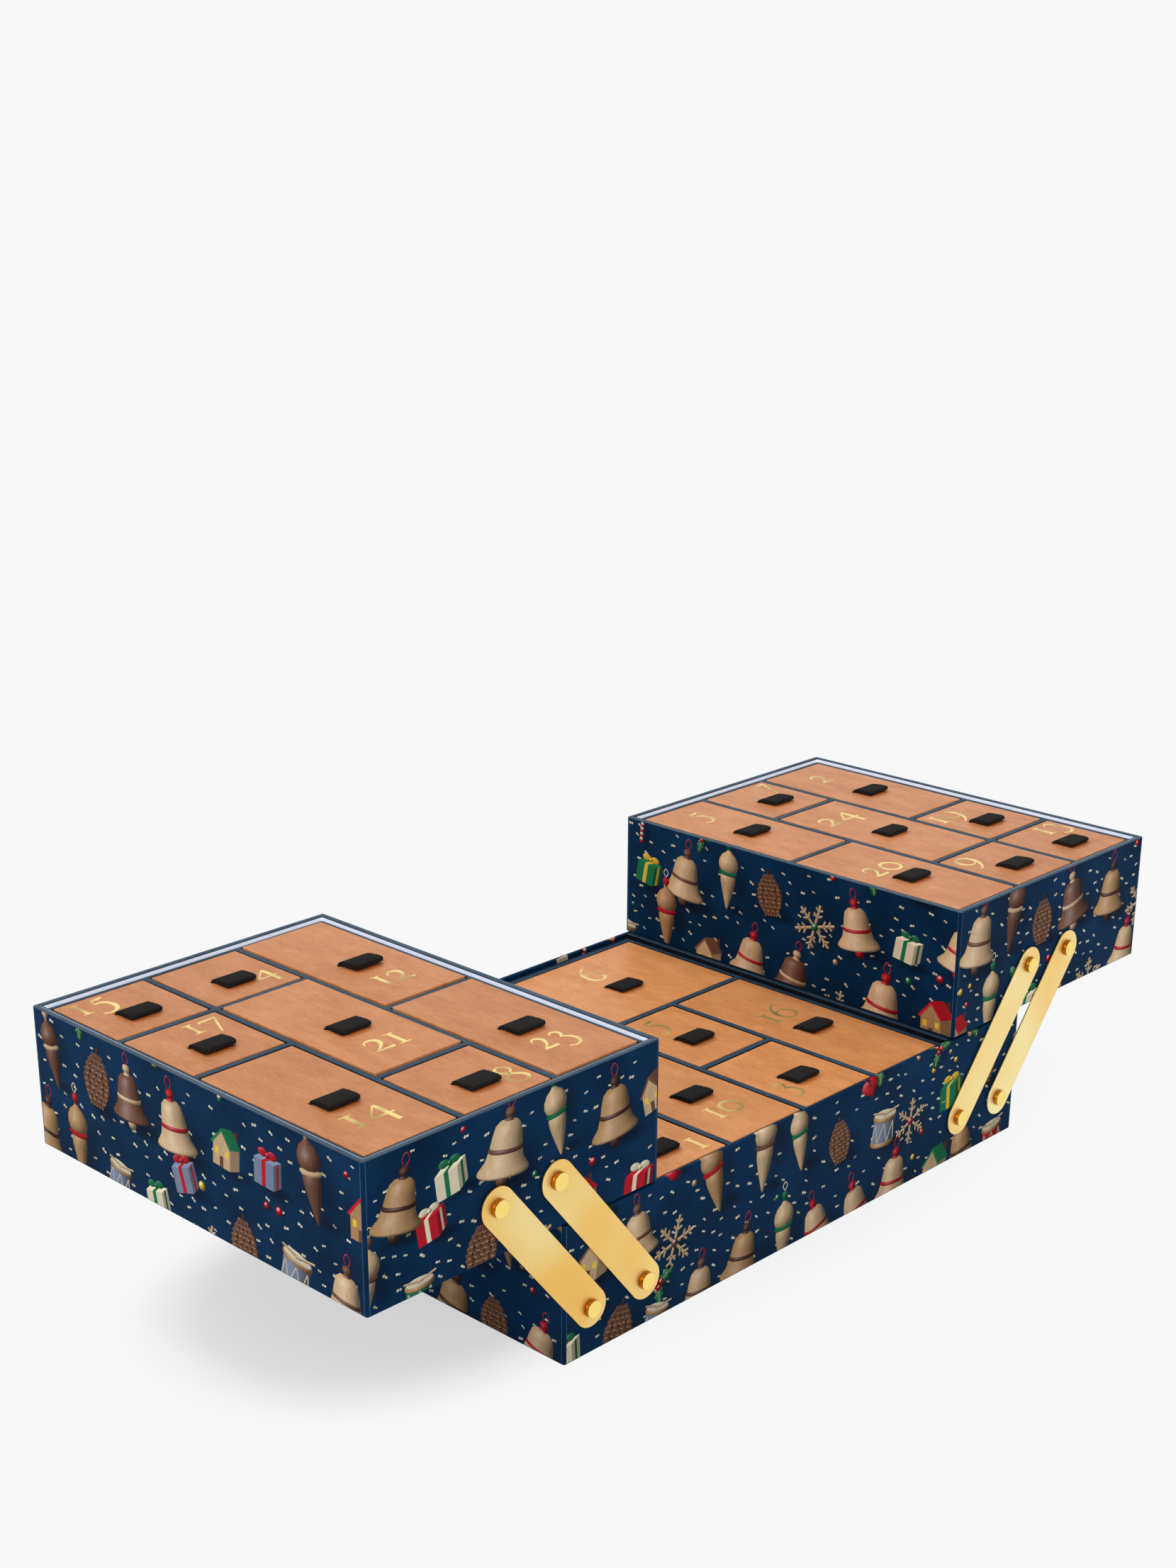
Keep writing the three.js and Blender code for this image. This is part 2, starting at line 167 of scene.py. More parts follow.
def make_floor():
    mesh = bpy.data.meshes.new("floor")
    r = FLOOR_REACH
    mesh.from_pydata([(-r, -r, 0), (r, -r, 0), (r, r, 0), (-r, r, 0)], [], [(0, 1, 2, 3)])
    floor = bpy.data.objects.new("floor", mesh)
    bpy.context.scene.collection.objects.link(floor)
    made = bpy.data.materials.new("studio_floor")
    made.use_nodes = True
    tree = made.node_tree
    lit = tree.nodes["Principled BSDF"]
    lit.inputs["Base Color"].default_value = (FLOOR_WHITE, FLOOR_WHITE, FLOOR_WHITE, 1)
    lit.inputs["Roughness"].default_value = 0.9
    lit.inputs["Specular IOR Level"].default_value = 0.0
    white = (BACKDROP, BACKDROP, BACKDROP, 1)
    glow = add(tree, "ShaderNodeEmission", {"Color": white, "Strength": 1.0})
    place = add(tree, "ShaderNodeTexCoord").outputs["Object"]
    paleness = 1.0
    for middle, halves, depth in SHADOWS:
        counted = {0: counted_from(tree, place, middle, halves)}
        distance = add(tree, "ShaderNodeVectorMath", counted, operation="LENGTH").outputs["Value"]
        smooth = {"interpolation_type": "SMOOTHSTEP"}
        darkness = remapped(tree, distance, SHADOW_CORE, 1.0, depth, 0.0, **smooth)
        paleness = math_node(tree, "SUBTRACT", paleness, darkness)
    share = math_node(tree, "MULTIPLY", seen_directly(tree), paleness)
    mix = add(tree, "ShaderNodeMixShader", {0: share})
    tree.links.new(lit.outputs[0], mix.inputs[1])
    tree.links.new(glow.outputs[0], mix.inputs[2])
    tree.links.new(mix.outputs[0], tree.nodes["Material Output"].inputs["Surface"])
    mesh.materials.append(made)
    floor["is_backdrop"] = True


def make_sun(name, power, softness, come_from):
    data = bpy.data.lights.new(name, "SUN")
    data.energy = power
    data.angle = softness
    lamp = bpy.data.objects.new(name, data)
    lamp.rotation_mode = "QUATERNION"
    lamp.rotation_quaternion = Vector(come_from).to_track_quat("Z", "Y")
    bpy.context.scene.collection.objects.link(lamp)


make_backdrop()
make_floor()
make_sun("key_light", KEY_POWER, KEY_SOFTNESS, KEY_FROM)
make_sun("fill_light", FILL_POWER, KEY_SOFTNESS, FILL_FROM)

# Boxes. Each is a tray of grey board wrapped in printed navy paper, with rounded upright corners.
# The trays' rims are capped in slate blue paper. The base's print turns over its rim and a little
# way down inside.
MM = 0.001
WALL = 3 * MM
CORNER_RADIUS = 1.6 * MM
LEAST_RADIUS = 0.25 * MM
CORNER_STEPS = 5
RIM_ROUND = 0.6 * MM
FOOT_ROUND = 0.5 * MM
ROUND_STEPS = 3
TURN_IN = 3 * MM
PRINT_ROOM = 0.15 * MM
SHARP_ABOVE = math.radians(40)
# The sockets of a colour mix by number: its share, its two colours and the colour that it gives.
MIX_SHARE, MIX_LOW, MIX_HIGH, MIX_RESULT = 0, 6, 7, 2
NAVY = paint("063459")
NAVY_DEEP = paint("03203a")
SLATE = paint("54636f")
SLATE_DEEP = paint("3c4f5f")


def shader_group(name, inputs, outputs):
    """An empty shader group with float or vector inputs, and its own input and output nodes."""
    tree = bpy.data.node_groups.new(name, "ShaderNodeTree")
    for label, kind, value in inputs:
        socket = tree.interface.new_socket(label, in_out="INPUT", socket_type=kind)
        if value is not None:
            socket.default_value = value
    for label, kind in outputs:
        tree.interface.new_socket(label, in_out="OUTPUT", socket_type=kind)
    return tree, add(tree, "NodeGroupInput"), add(tree, "NodeGroupOutput")


def place_group(tree, group, **inputs):
    """A shader group placed in a material, with values for its inputs."""
    sockets = {name.replace("_", " "): value for name, value in inputs.items()}
    return add(tree, "ShaderNodeGroup", sockets, node_tree=group).outputs


def finish(name, **values):
    """A new material with one plain shader, its values given by socket name."""
    made = bpy.data.materials.new(name)
    made.use_nodes = True
    shader = made.node_tree.nodes["Principled BSDF"]
    for socket, value in values.items():
        shader.inputs[socket.replace("_", " ")].default_value = value
    return made, made.node_tree, shader


def object_place(tree):
    return add(tree, "ShaderNodeTexCoord").outputs["Object"]


def mixed(tree, share, low, high):
    """One colour at share 0 and another at share 1."""
    sockets = {MIX_SHARE: share, MIX_LOW: low, MIX_HIGH: high}
    return add(tree, "ShaderNodeMix", sockets, data_type="RGBA").outputs[MIX_RESULT]


def noise(tree, vector, scale, detail, **more):
    """Soft noise from 0 to 1. scale counts its features in a metre."""
    sockets = {"Vector": vector, "Scale": scale, "Detail": detail, **more}
    return add(tree, "ShaderNodeTexNoise", sockets).outputs[0]


def bumped(tree, shader, height, distance, strength=1.0):
    """Feeds a height into a shader's normal."""
    sockets = {"Height": height, "Distance": distance, "Strength": strength}
    bump = add(tree, "ShaderNodeBump", sockets)
    tree.links.new(bump.outputs["Normal"], shader.inputs["Normal"])


def paper_fibre_group():
    """The soft mottle of paper over board: a tone from 0 to 1 and a height."""
    tree, given, result = shader_group(
        "paper_fibre",
        [("Vector", "NodeSocketVector", None), ("Fibre", "NodeSocketFloat", 0.0006)],
        [("Tone", "NodeSocketFloat"), ("Height", "NodeSocketFloat")],
    )
    fine_scale = math_node(tree, "DIVIDE", 1.0, given.outputs["Fibre"])
    broad_scale = math_node(tree, "MULTIPLY", fine_scale, 0.016)
    vector = given.outputs["Vector"]
    fine = noise(tree, vector, fine_scale, 3.0, Roughness=0.7)
    broad = noise(tree, vector, broad_scale, 2.0)
    tone = math_node(tree, "ADD", math_node(tree, "MULTIPLY", fine, 0.55), broad)
    tree.links.new(remapped(tree, tone, 0.5, 1.05, 0.0, 1.0), result.inputs["Tone"])
    tree.links.new(fine, result.inputs["Height"])
    return tree


PAPER_FIBRE = paper_fibre_group()


def navy_ground_group():
    """The print's navy ground, which the motifs' soft shadows fade into."""
    tree, given, result = shader_group(
        "navy_ground",
        [("Vector", "NodeSocketVector", None)],
        [("Color", "NodeSocketColor"), ("Height", "NodeSocketFloat")],
    )
    fibre = place_group(tree, PAPER_FIBRE, Vector=given.outputs["Vector"], Fibre=0.0005)
    ground = mixed(tree, fibre["Tone"], NAVY_DEEP, NAVY)
    tree.links.new(ground, result.inputs["Color"])
    tree.links.new(fibre["Height"], result.inputs["Height"])
    return tree


NAVY_GROUND = navy_ground_group()


def navy_paper():
    made, tree, shader = finish("navy_paper", Roughness=0.6, Specular_IOR_Level=0.04)
    ground = place_group(tree, NAVY_GROUND, Vector=object_place(tree))
    tree.links.new(ground["Color"], shader.inputs["Base Color"])
    bumped(tree, shader, ground["Height"], 0.00004, 0.5)
    return made


def slate_paper(name, low, high):
    made, tree, shader = finish(name, Roughness=0.55, Specular_IOR_Level=0.1)
    fibre = place_group(tree, PAPER_FIBRE, Vector=object_place(tree), Fibre=0.0004)
    tree.links.new(mixed(tree, fibre["Tone"], low, high), shader.inputs["Base Color"])
    bumped(tree, shader, fibre["Height"], 0.00004, 0.5)
    return made


def rounded_ring(low, high, inset, z):
    """A rectangle with rounded corners, drawn in by an inset, counter-clockwise from above."""
    r = max(CORNER_RADIUS - inset, LEAST_RADIUS)
    x0, y0 = low.x + inset + r, low.y + inset + r
    x1, y1 = high.x - inset - r, high.y - inset - r
    points = []
    for x, y, start in ((x1, y0, -90), (x1, y1, 0), (x0, y1, 90), (x0, y0, 180)):
        for i in range(CORNER_STEPS + 1):
            turn = math.radians(start + 90 * i / CORNER_STEPS)
            points.append((x + r * math.cos(turn), y + r * math.sin(turn), z))
    return points


def new_object(name, mesh, *materials):
    made = bpy.data.objects.new(name, mesh)
    bpy.context.scene.collection.objects.link(made)
    for material in materials:
        mesh.materials.append(material)
    return made


def modelled(name, points, faces, *materials, edges=()):
    """A new object from its points, its faces and any loose edges."""
    mesh = bpy.data.meshes.new(name)
    mesh.from_pydata(points, edges, faces)
    return new_object(name, mesh, *materials)


def fitted(made, body, slot, *nodes):
    """Makes a finished piece ride on its body, in place of any construction solids named."""
    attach(made, body)
    if nodes:
        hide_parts(*nodes)


def baked(made):
    """Turns an object's modifiers into its plain mesh."""
    graph = bpy.context.evaluated_depsgraph_get()
    mesh = bpy.data.meshes.new_from_object(made.evaluated_get(graph))
    made.modifiers.clear()
    made.data = mesh
    return made


def evened(made):
    """Smooth shading that keeps flat faces flat and sharp edges sharp."""
    made.data.shade_smooth()
    made.data.set_sharp_from_angle(angle=SHARP_ABOVE)
    weighted = made.modifiers.new("weighted", "WEIGHTED_NORMAL")
    weighted.weight = 100
    weighted.keep_sharp = True
    return baked(made)


def swept_rings(name, rings, paints, *materials):
    """A skin over rings of points, capped at both ends. paints gives each strip's material."""
    count = len(rings[0])
    points = [point for ring in rings for point in ring]
    faces, indices = [], []
    for strip, index in zip(range(len(rings) - 1), paints):
        near, far = strip * count, (strip + 1) * count
        for i in range(count):
            j = (i + 1) % count
            faces.append((near + i, far + i, far + j, near + j))
            indices.append(index)
    last = (len(rings) - 1) * count
    faces.append(tuple(range(count)))
    faces.append(tuple(reversed(range(last, last + count))))
    indices += [paints[0], paints[-1]]
    made = modelled(name, points, faces, *materials)
    made.data.polygons.foreach_set("material_index", indices)
    return evened(made)


def round_over(inset, z, radius, start):
    """A quarter turn of a board's edge, as pairs of inset and height."""
    turns = [math.radians(start + 90 * i / ROUND_STEPS) for i in range(ROUND_STEPS + 1)]
    return [(inset + radius * math.cos(turn), z + radius * math.sin(turn)) for turn in turns]


def wrapped_box(body, rim):
    """A box's walls and floor. rim is 0 where the print turns over it and 1 where it is slate."""
    node = body + "_box"
    low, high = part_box(node)
    top = high.z
    section = [(WALL, low.z + WALL), (WALL, top - TURN_IN)]
    section += round_over(WALL - RIM_ROUND, top - RIM_ROUND, RIM_ROUND, 0)
    section += round_over(PRINT_ROOM + RIM_ROUND, top - RIM_ROUND, RIM_ROUND, 90)
    section += round_over(PRINT_ROOM + FOOT_ROUND, low.z + FOOT_ROUND, FOOT_ROUND, 180)
    rings = [rounded_ring(low, high, inset, z) for inset, z in section]
    # The strips are the inner wall, the turned-in edge, the rim, the outer wall and the foot.
    paints = [1] + [rim] * 8 + [0] * 4
    made = swept_rings(node + "_wrapped", rings, paints, NAVY_PAPER, SLATE_RIM)
    fitted(made, body, "navy_print_paper", node)


NAVY_PAPER = navy_paper()
SLATE_RIM = slate_paper("slate_rim_paper", SLATE_DEEP, SLATE)
BOX_BODIES = ("base", "left_tray", "right_tray")
for body in BOX_BODIES:
    wrapped_box(body, 0 if body == "base" else 1)

# Printed paper. The boxes are wrapped in navy paper printed with turned wooden ornaments and small
# cream stars. Each wall has its own sheet, drawn flat and then laid on the wall as a thin skin.
# The base's sheets turn over its rim.
PAPER_THICK = 0.03 * MM
FIRST_INK = 0.045 * MM
INK_STEP = 0.012 * MM
SEAM_FROM_CORNER = 1.9 * MM
FOOT_MARGIN = 0.6 * MM
RIM_END_MARGIN = 5 * MM
GROUND_PITCH = 2.2 * MM
RIM_BEND = RIM_ROUND * math.pi / 2
RIM_FLAT = WALL - PRINT_ROOM - 2 * RIM_ROUND
SHEET_SEEDS = {"base": 11, "left_tray": 21, "right_tray": 31}
# Printed faces below this doubled area, and edges below this length, are too small to keep.
LEAST_AREA = 1e-10
LEAST_LENGTH = 0.001 * MM
CORD_RED = paint("a8202a")[:3]
BEECH = paint("dcbc90")[:3]
OAK = paint("c19767")[:3]
WALNUT = paint("7b5340")[:3]
DARK_WALNUT = paint("553628")[:3]
RED = paint("c41f2c")[:3]
GREEN = paint("1d7a4e")[:3]
LEAF = paint("2f7f4c")[:3]
BLUE = paint("3f63a8")[:3]
GREY_BLUE = paint("8490a8")[:3]
ORANGE = paint("d98a55")[:3]
CREAM = paint("f0e4c4")[:3]
YELLOW = paint("e8c23a")[:3]
BRASS = paint("caa04a")[:3]
BLACK = paint("0a0f18")[:3]
LAMP = Vector((-0.52, 0.62, 0.58)).normalized()
HIGHLIGHT = (LAMP + Vector((0, 0.96, 0.28))).normalized()
DIMMEST = 0.2
LAMP_SHARE = 0.92
SHINE_POWER = 22
# How far a turned shape tips towards the eye, and the steps across it from edge to edge.
TIP = 0.2
ACROSS = [math.sin(math.radians(90 * k / 6)) for k in range(-6, 7)]


def lit(ink, normal, gloss):
    """An ink as it looks on a shape turned that way. Normals go right, towards the eye and up."""
    facing = Vector(normal)
    level = DIMMEST + LAMP_SHARE * max(facing.dot(LAMP), 0)
    shine = gloss * max(facing.dot(HIGHLIGHT), 0) ** SHINE_POWER
    return [min(channel * level + shine, 1) for channel in ink]


def smooth_path(points, steps):
    """More points on a smooth curve through the given ones."""
    made = []
    last = len(points) - 1
    for i in range(last):
        four = [Vector(points[min(max(i + k, 0), last)]) for k in (-1, 0, 1, 2)]
        before, start, end, after = four
        for k in range(steps):
            t = k / steps
            pull = 2 * start + (end - before) * t
            pull += (2 * before - 5 * start + 4 * end - after) * t**2
            pull += (3 * start - before - 3 * end + after) * t**3
            made.append(pull / 2)
    made.append(Vector(points[-1]))
    return made


class Sheet:
    """The shapes printed on one wall, in metres along the wall, up it and out of it."""

    def __init__(self):
        self.points = []
        self.faces = []
        self.inks = []
        self.grains = []
        self.runs = []
        self.shadows = []
        self.frame = (0, 0, 0, 1)

    def start(self, across, up, turn, size):
        """Moves the place, turn and size of what is drawn next."""
        self.frame = (across, up, turn, size)

    def spot(self, x, y):
        across, up, turn, size = self.frame
        c, s = math.cos(turn) * size * MM, math.sin(turn) * size * MM
        return across + x * c - y * s, up + x * s + y * c

    def shadow(self, x, y, wide, high, depth):
        """A soft shadow on the ground, as an ellipse."""
        size = self.frame[3] * MM
        self.shadows.append((*self.spot(x, y), wide * size, high * size, depth))

    def grid(self, rows, inks, layer, grain=0.0, closed=False, fill=False):
        """Rows of points in millimetres, each with its ink. Closed rows meet at their ends."""
        first = len(self.points)
        wide = len(rows[0])
        for row, row_inks in zip(rows, inks):
            for (x, y), ink in zip(row, row_inks):
                self.points.append((*self.spot(x, y), FIRST_INK + layer * INK_STEP))
                self.inks.append((*ink, 1.0))
                self.grains.append(grain)
                self.runs.append((x * MM + self.frame[0] * 3, y * MM, self.frame[1] * 3))
        faces = []
        for r in range(len(rows) - 1):
            for c in range(wide if closed else wide - 1):
                a = first + r * wide + c
                b = first + r * wide + (c + 1) % wide
                faces.append((a, b, b + wide, a + wide))
        if fill:
            last = first + (len(rows) - 1) * wide
            faces.append(tuple(range(last, last + wide)))
        self.add_faces(faces)

    def add_faces(self, faces):
        """Keeps the faces of a shape that look at the eye, and drops those folded under it."""
        areas = []
        for face in faces:
            corners = [self.points[i] for i in face]
            pairs = zip(corners, corners[1:] + corners[:1])
            areas.append(sum(a[0] * b[1] - b[0] * a[1] for a, b in pairs))
        way = 1 if sum(areas) > 0 else -1
        for face, area in zip(faces, areas):
            if area * way > LEAST_AREA:
                self.faces.append(face[::way])


def turned(sheet, profile, layer, gloss=0.16, grain=1.0, tip=TIP):
    """A turned shape seen a little from above. The profile runs downwards as radius, height, ink."""
    rows, inks = [], []
    for k, (radius, height, ink) in enumerate(profile):
        above, below = profile[max(k - 1, 0)], profile[min(k + 1, len(profile) - 1)]
        slope = Vector((above[1] - below[1], below[0] - above[0])).normalized()
        row, row_inks = [], []
        for t in ACROSS:
            depth = math.sqrt(1 - t * t)
            row.append((radius * t, height - tip * radius * depth))
            row_inks.append(lit(ink, (t * slope.x, depth * slope.x, slope.y), gloss))
        rows.append(row)
        inks.append(row_inks)
    sheet.grid(rows, inks, layer, grain)


def ball(sheet, x, y, radius, ink, layer, gloss=0.9, grain=0.0):
    """A round ball with its highlight."""
    rows, inks = [], []
    for k in range(7, 0, -1):
        reach = math.sin(math.radians(90 * k / 7))
        row, row_inks = [], []
        for i in range(18):
            turn = math.radians(20 * i)
            right, up = math.cos(turn) * reach, math.sin(turn) * reach
            row.append((x + radius * right, y + radius * up))
            row_inks.append(lit(ink, (right, math.sqrt(1 - reach * reach), up), gloss))
        rows.append(row)
        inks.append(row_inks)
    sheet.grid(rows, inks, layer, grain, closed=True, fill=True)


def rod(sheet, path, widths, inks, layer, gloss=0.3, grain=0.0):
    """A round rod, cord or stem along a path. Each point has a width and an ink."""
    rows, row_inks = [], []
    last = len(path) - 1
    for k, (x, y) in enumerate(path):
        before, after = path[max(k - 1, 0)], path[min(k + 1, last)]
        way = Vector((after[0] - before[0], after[1] - before[1])).normalized()
        side = (way.y, -way.x)
        row, shades = [], []
        for t in (-1, -0.6, 0, 0.6, 1):
            reach = t * widths[k] / 2
            row.append((x + side[0] * reach, y + side[1] * reach))
            shades.append(lit(inks[k], (side[0] * t, math.sqrt(1 - t * t), side[1] * t), gloss))
        rows.append(row)
        row_inks.append(shades)
    sheet.grid(rows, row_inks, layer, grain)


def stick(sheet, start, end, width, ink, layer, grain=0.0):
    """A straight rod of one ink."""
    rod(sheet, (start, end), (width, width), (ink, ink), layer, grain=grain)


def cord(sheet, points, width, ink, layer):
    """A thin cord on a smooth path."""
    path = [(p.x, p.y) for p in smooth_path(points, 5)]
    rod(sheet, path, [width] * len(path), [ink] * len(path), layer)


def pillow(sheet, outline, ink, layer, grain=0.0, gloss=0.15, puff=0.75):
    """A flat cut shape with a rounded edge."""
    count = len(outline)
    mid_x = sum(x for x, y in outline) / count
    mid_y = sum(y for x, y in outline) / count
    rows, inks = [], []
    for share, lean in ((1.0, 1.0), (0.86, 0.7), (0.6, 0.25), (0.2, 0.05)):
        row, shades = [], []
        for x, y in outline:
            away = Vector((x - mid_x, y - mid_y)).normalized() * lean * puff
            row.append((mid_x + (x - mid_x) * share, mid_y + (y - mid_y) * share))
            shades.append(lit(ink, (away.x, math.sqrt(1 - away.length_squared), away.y), gloss))
        rows.append(row)
        inks.append(shades)
    sheet.grid(rows, inks, layer, grain, closed=True, fill=True)


def plate(sheet, corners, ink, level, layer, grain=0.0):
    """A flat side of a block, lit all over alike, with four corners."""
    a, b, c, d = corners
    shade = [channel * level for channel in ink]
    sheet.grid([[a, b], [d, c]], [[shade, shade], [shade, shade]], layer, grain)


def ellipse(x, y, wide, high, steps=20):
    turns = [2 * math.pi * i / steps for i in range(steps)]
    return [(x + wide * math.cos(t), y + high * math.sin(t)) for t in turns]


def bell(sheet, chance):
    """A turned wooden bell on a red cord."""
    body, trim = chance.choice(((BEECH, WALNUT), (WALNUT, BEECH), (BEECH, RED), (OAK, DARK_WALNUT)))
    cord(sheet, ((0.3, 33), (-2.4, 37.5), (0, 41), (2.5, 37.5), (0.2, 33)), 0.8, CORD_RED, 1)
    ball(sheet, 0, -1.6, 3.7, trim, 1, 0.35, 1.0)
    shape = [(5.4, 28), (8.4, 25.5), (9.8, 20.5), (10.8, 14.5), (12.6, 9), (16.2, 5), (17, 3.6)]
    shape += [(16.9, 2.8), (16.2, 2.2)]
    turned(sheet, [(1.6, 28.6, body)] + [(r, z, body) for r, z in shape], 2)
    turned(sheet, [(r, z, trim) for r, z in ((10.6, 15.6), (11.3, 15.1), (11.4, 13.9), (11, 13.3))], 3)
    knob = ((0.3, 34.2), (2.4, 33.8), (3.4, 32.2), (3.2, 30.6), (1.9, 29.4), (2.9, 28.6), (3, 27.9))
    turned(sheet, [(r, z, trim) for r, z in knob], 3)
    sheet.shadow(9, -2, 22, 7, 0.8)
    sheet.shadow(10, 9, 18, 14, 0.45)


def drop(sheet, chance):
    """A long turned drop with a ring round its widest part."""
    body, trim = chance.choice(((BEECH, WALNUT), (BEECH, GREEN), (OAK, RED), (WALNUT, BEECH)))
    cord(sheet, ((0, 49), (-1.8, 52), (0, 54.5), (1.8, 52), (0, 49)), 0.7, CREAM, 1)
    taper = ((5.2, 26), (6.6, 24), (6.4, 20), (4.9, 14), (3.1, 8), (1.7, 3.5), (0.9, 1.2), (0.2, 0.4))
    turned(sheet, [(r, z, body) for r, z in taper], 2)
    urn = ((1.3, 43), (2.4, 41.6), (5.8, 39.4), (8.1, 35.8), (8.6, 32.2), (7.6, 29), (5.2, 26.6))
    turned(sheet, [(r, z, body) for r, z in urn], 3)
    turned(sheet, [(r, z, trim) for r, z in ((5, 27.8), (7.6, 27.5), (8.2, 26.6), (7.4, 25.6))], 4)
    bead = ((0.3, 49), (2.1, 48.4), (2.8, 46.8), (2.2, 45), (1.2, 43.8), (1.1, 42.8))
    turned(sheet, [(r, z, trim) for r, z in bead], 4)
    sheet.shadow(8, 2, 12, 5, 0.75)
    sheet.shadow(9, 22, 11, 20, 0.5)


def pine_cone(sheet, chance):
    """A pine cone with rows of rounded scales."""
    ink = chance.choice((WALNUT, DARK_WALNUT, WALNUT))
    stick(sheet, (0, 27), (0.6, 32), 1.8, DARK_WALNUT, 1, 1.0)
    pillow(sheet, ellipse(0, 14, 9, 15), [c * 0.5 for c in DARK_WALNUT], 1)
    for row in range(9):
        height = 1.5 + 3 * row
        half = 10.4 * math.sin(math.radians(28 + 16.5 * row)) ** 0.8
        count = 4 if row % 2 else 5
        for i in range(count):
            x = half * ((i + 0.5) / count * 2 - 1)
            wide = half / count * 1.25
            scale = [(x - wide, height + 1.6), (x - wide * 0.7, height - 0.6), (x, height - 1.7)]
            scale += [(x + wide * 0.7, height - 0.6), (x + wide, height + 1.6), (x, height + 3.6)]
            pillow(sheet, scale, ink, 2 + row % 3, 1.0, 0.1, 0.9)
            lip = [(x - wide * 0.6, height - 0.5), (x, height - 1.5), (x + wide * 0.6, height - 0.5)]
            lip.append((x, height - 0.6))
            plate(sheet, lip, OAK, 0.85, 5, 1.0)
    sheet.shadow(8, 0, 14, 5, 0.75)
    sheet.shadow(8, 10, 12, 12, 0.4)


def snow_star(sheet, chance):
    """A star of thin pale bars tied in the middle."""
    for k in range(6):
        turn = math.radians(60 * k + 15)
        c, s = math.cos(turn), math.sin(turn)
        stick(sheet, (0, 0), (15 * c, 15 * s), 2, BEECH, 1 + k % 2, 1.0)
        for reach, wing in ((6.5, 4), (10.5, 3.4)):
            for side in (-1, 1):
                lean = turn + side * math.radians(52)
                end = (reach * c + wing * math.cos(lean), reach * s + wing * math.sin(lean))
                stick(sheet, (reach * c, reach * s), end, 1.4, BEECH, 3, 1.0)
    ball(sheet, 0, 0, 2.6, chance.choice((RED, GREEN, WALNUT)), 4)
    sheet.shadow(4, -4, 17, 15, 0.5)


def parcel(sheet, chance):
    """A small wrapped parcel seen from a corner."""
    wrap, ribbon = chance.choice(((RED, CREAM), (GREEN, YELLOW), (GREY_BLUE, RED), (CREAM, GREEN)))
    plate(sheet, ((-9, 0), (6, 0), (6, 14), (-9, 14)), wrap, 0.85, 1)
    plate(sheet, ((6, 0), (12, 4), (12, 17.5), (6, 14)), wrap, 0.4, 1)
    plate(sheet, ((-9, 14), (6, 14), (12, 17.5), (-3.4, 17.5)), wrap, 1.15, 1)
    plate(sheet, ((-3, 0), (0, 0), (0, 14), (-3, 14)), ribbon, 0.9, 2)
    plate(sheet, ((-3, 14), (0, 14), (6, 17.5), (3, 17.5)), ribbon, 1.1, 2)
    plate(sheet, ((8.3, 1.6), (9.9, 2.6), (9.9, 16.2), (8.3, 15.3)), ribbon, 0.5, 2)
    for side in (-1, 1):
        loop = ellipse(1.6 + side * 3.6, 18.6, 3.8, 2.3, 12)
        pillow(sheet, loop, ribbon, 3)
    ball(sheet, 1.6, 17.8, 1.6, ribbon, 4, 0.3)
    sheet.shadow(10, 0, 16, 5, 0.8)


def drum(sheet, chance):
    """A toy drum laced with cream cord."""
    side = chance.choice((RED, GREEN, GREY_BLUE))
    turned(sheet, [(9.5, 16, side), (9.5, 12, side), (9.5, 6, side), (9.5, 1, side)], 1, 0.2, 0.0, 0.26)
    for low in (1.0, 15.4):
        hoop = ((9.6, low + 1.8), (10.2, low + 1.4), (10.3, low - 0.2), (9.8, low - 0.8))
        turned(sheet, [(r, z, OAK) for r, z in hoop], 3, 0.2, 1.0, 0.26)
    pillow(sheet, ellipse(0, 17.1, 9.5, 2.6), CREAM, 4, 0.0, 0.1, 0.3)
    marks = [math.radians(-78 + 26 * k) for k in range(7)]
    heights = [14.2 if k % 2 else 2.6 for k in range(7)]
    laces = [
        (9.7 * math.sin(a), z - 0.26 * 9.7 * math.cos(a)) for a, z in zip(marks, heights)
    ]
    for start, end in zip(laces, laces[1:]):
        stick(sheet, start, end, 0.7, CREAM, 2)
    stick(sheet, (-11, 18.5), (2.5, 17.2), 1.3, BEECH, 5, 1.0)
    stick(sheet, (11.5, 20), (-1.5, 16.6), 1.3, BEECH, 6, 1.0)
    sheet.shadow(9, -1, 15, 5, 0.8)


def little_house(sheet, chance):
    """A wooden toy house with lighted windows."""
    wall, roof = chance.choice(((BEECH, WALNUT), (OAK, RED), (BEECH, GREEN)))
    plate(sheet, ((-9, 0), (5, 0), (5, 14), (-9, 14)), wall, 0.85, 1, 1.0)
    plate(sheet, ((-9, 14), (5, 14), (-1.8, 21.5), (-2.2, 21.5)), wall, 0.85, 1, 1.0)
    plate(sheet, ((5, 0), (13, 3.4), (13, 16), (5, 14)), wall, 0.42, 1, 1.0)
    plate(sheet, ((8.5, 19), (11.2, 19.8), (11.2, 25.6), (8.5, 25)), DARK_WALNUT, 0.9, 1, 1.0)
    plate(sheet, ((-2, 23), (6.4, 13), (14.4, 15.6), (6.4, 25)), roof, 0.75, 3, 1.0)
    plate(sheet, ((-11, 12.6), (-9.6, 11.6), (-2, 20.8), (-2, 23)), roof, 1.2, 4, 1.0)
    plate(sheet, ((-2, 20.8), (5, 11.8), (6.4, 13), (-2, 23)), roof, 1.0, 4, 1.0)
    for x in (-7.4, 1.0):
        plate(sheet, ((x, 7), (x + 2.8, 7), (x + 2.8, 10.6), (x, 10.6)), YELLOW, 1.1, 2)
    plate(sheet, ((-3.4, 0), (-0.4, 0), (-0.4, 6.4), (-3.4, 6.4)), WALNUT, 0.8, 2, 1.0)
    sheet.shadow(11, 0, 15, 5, 0.8)


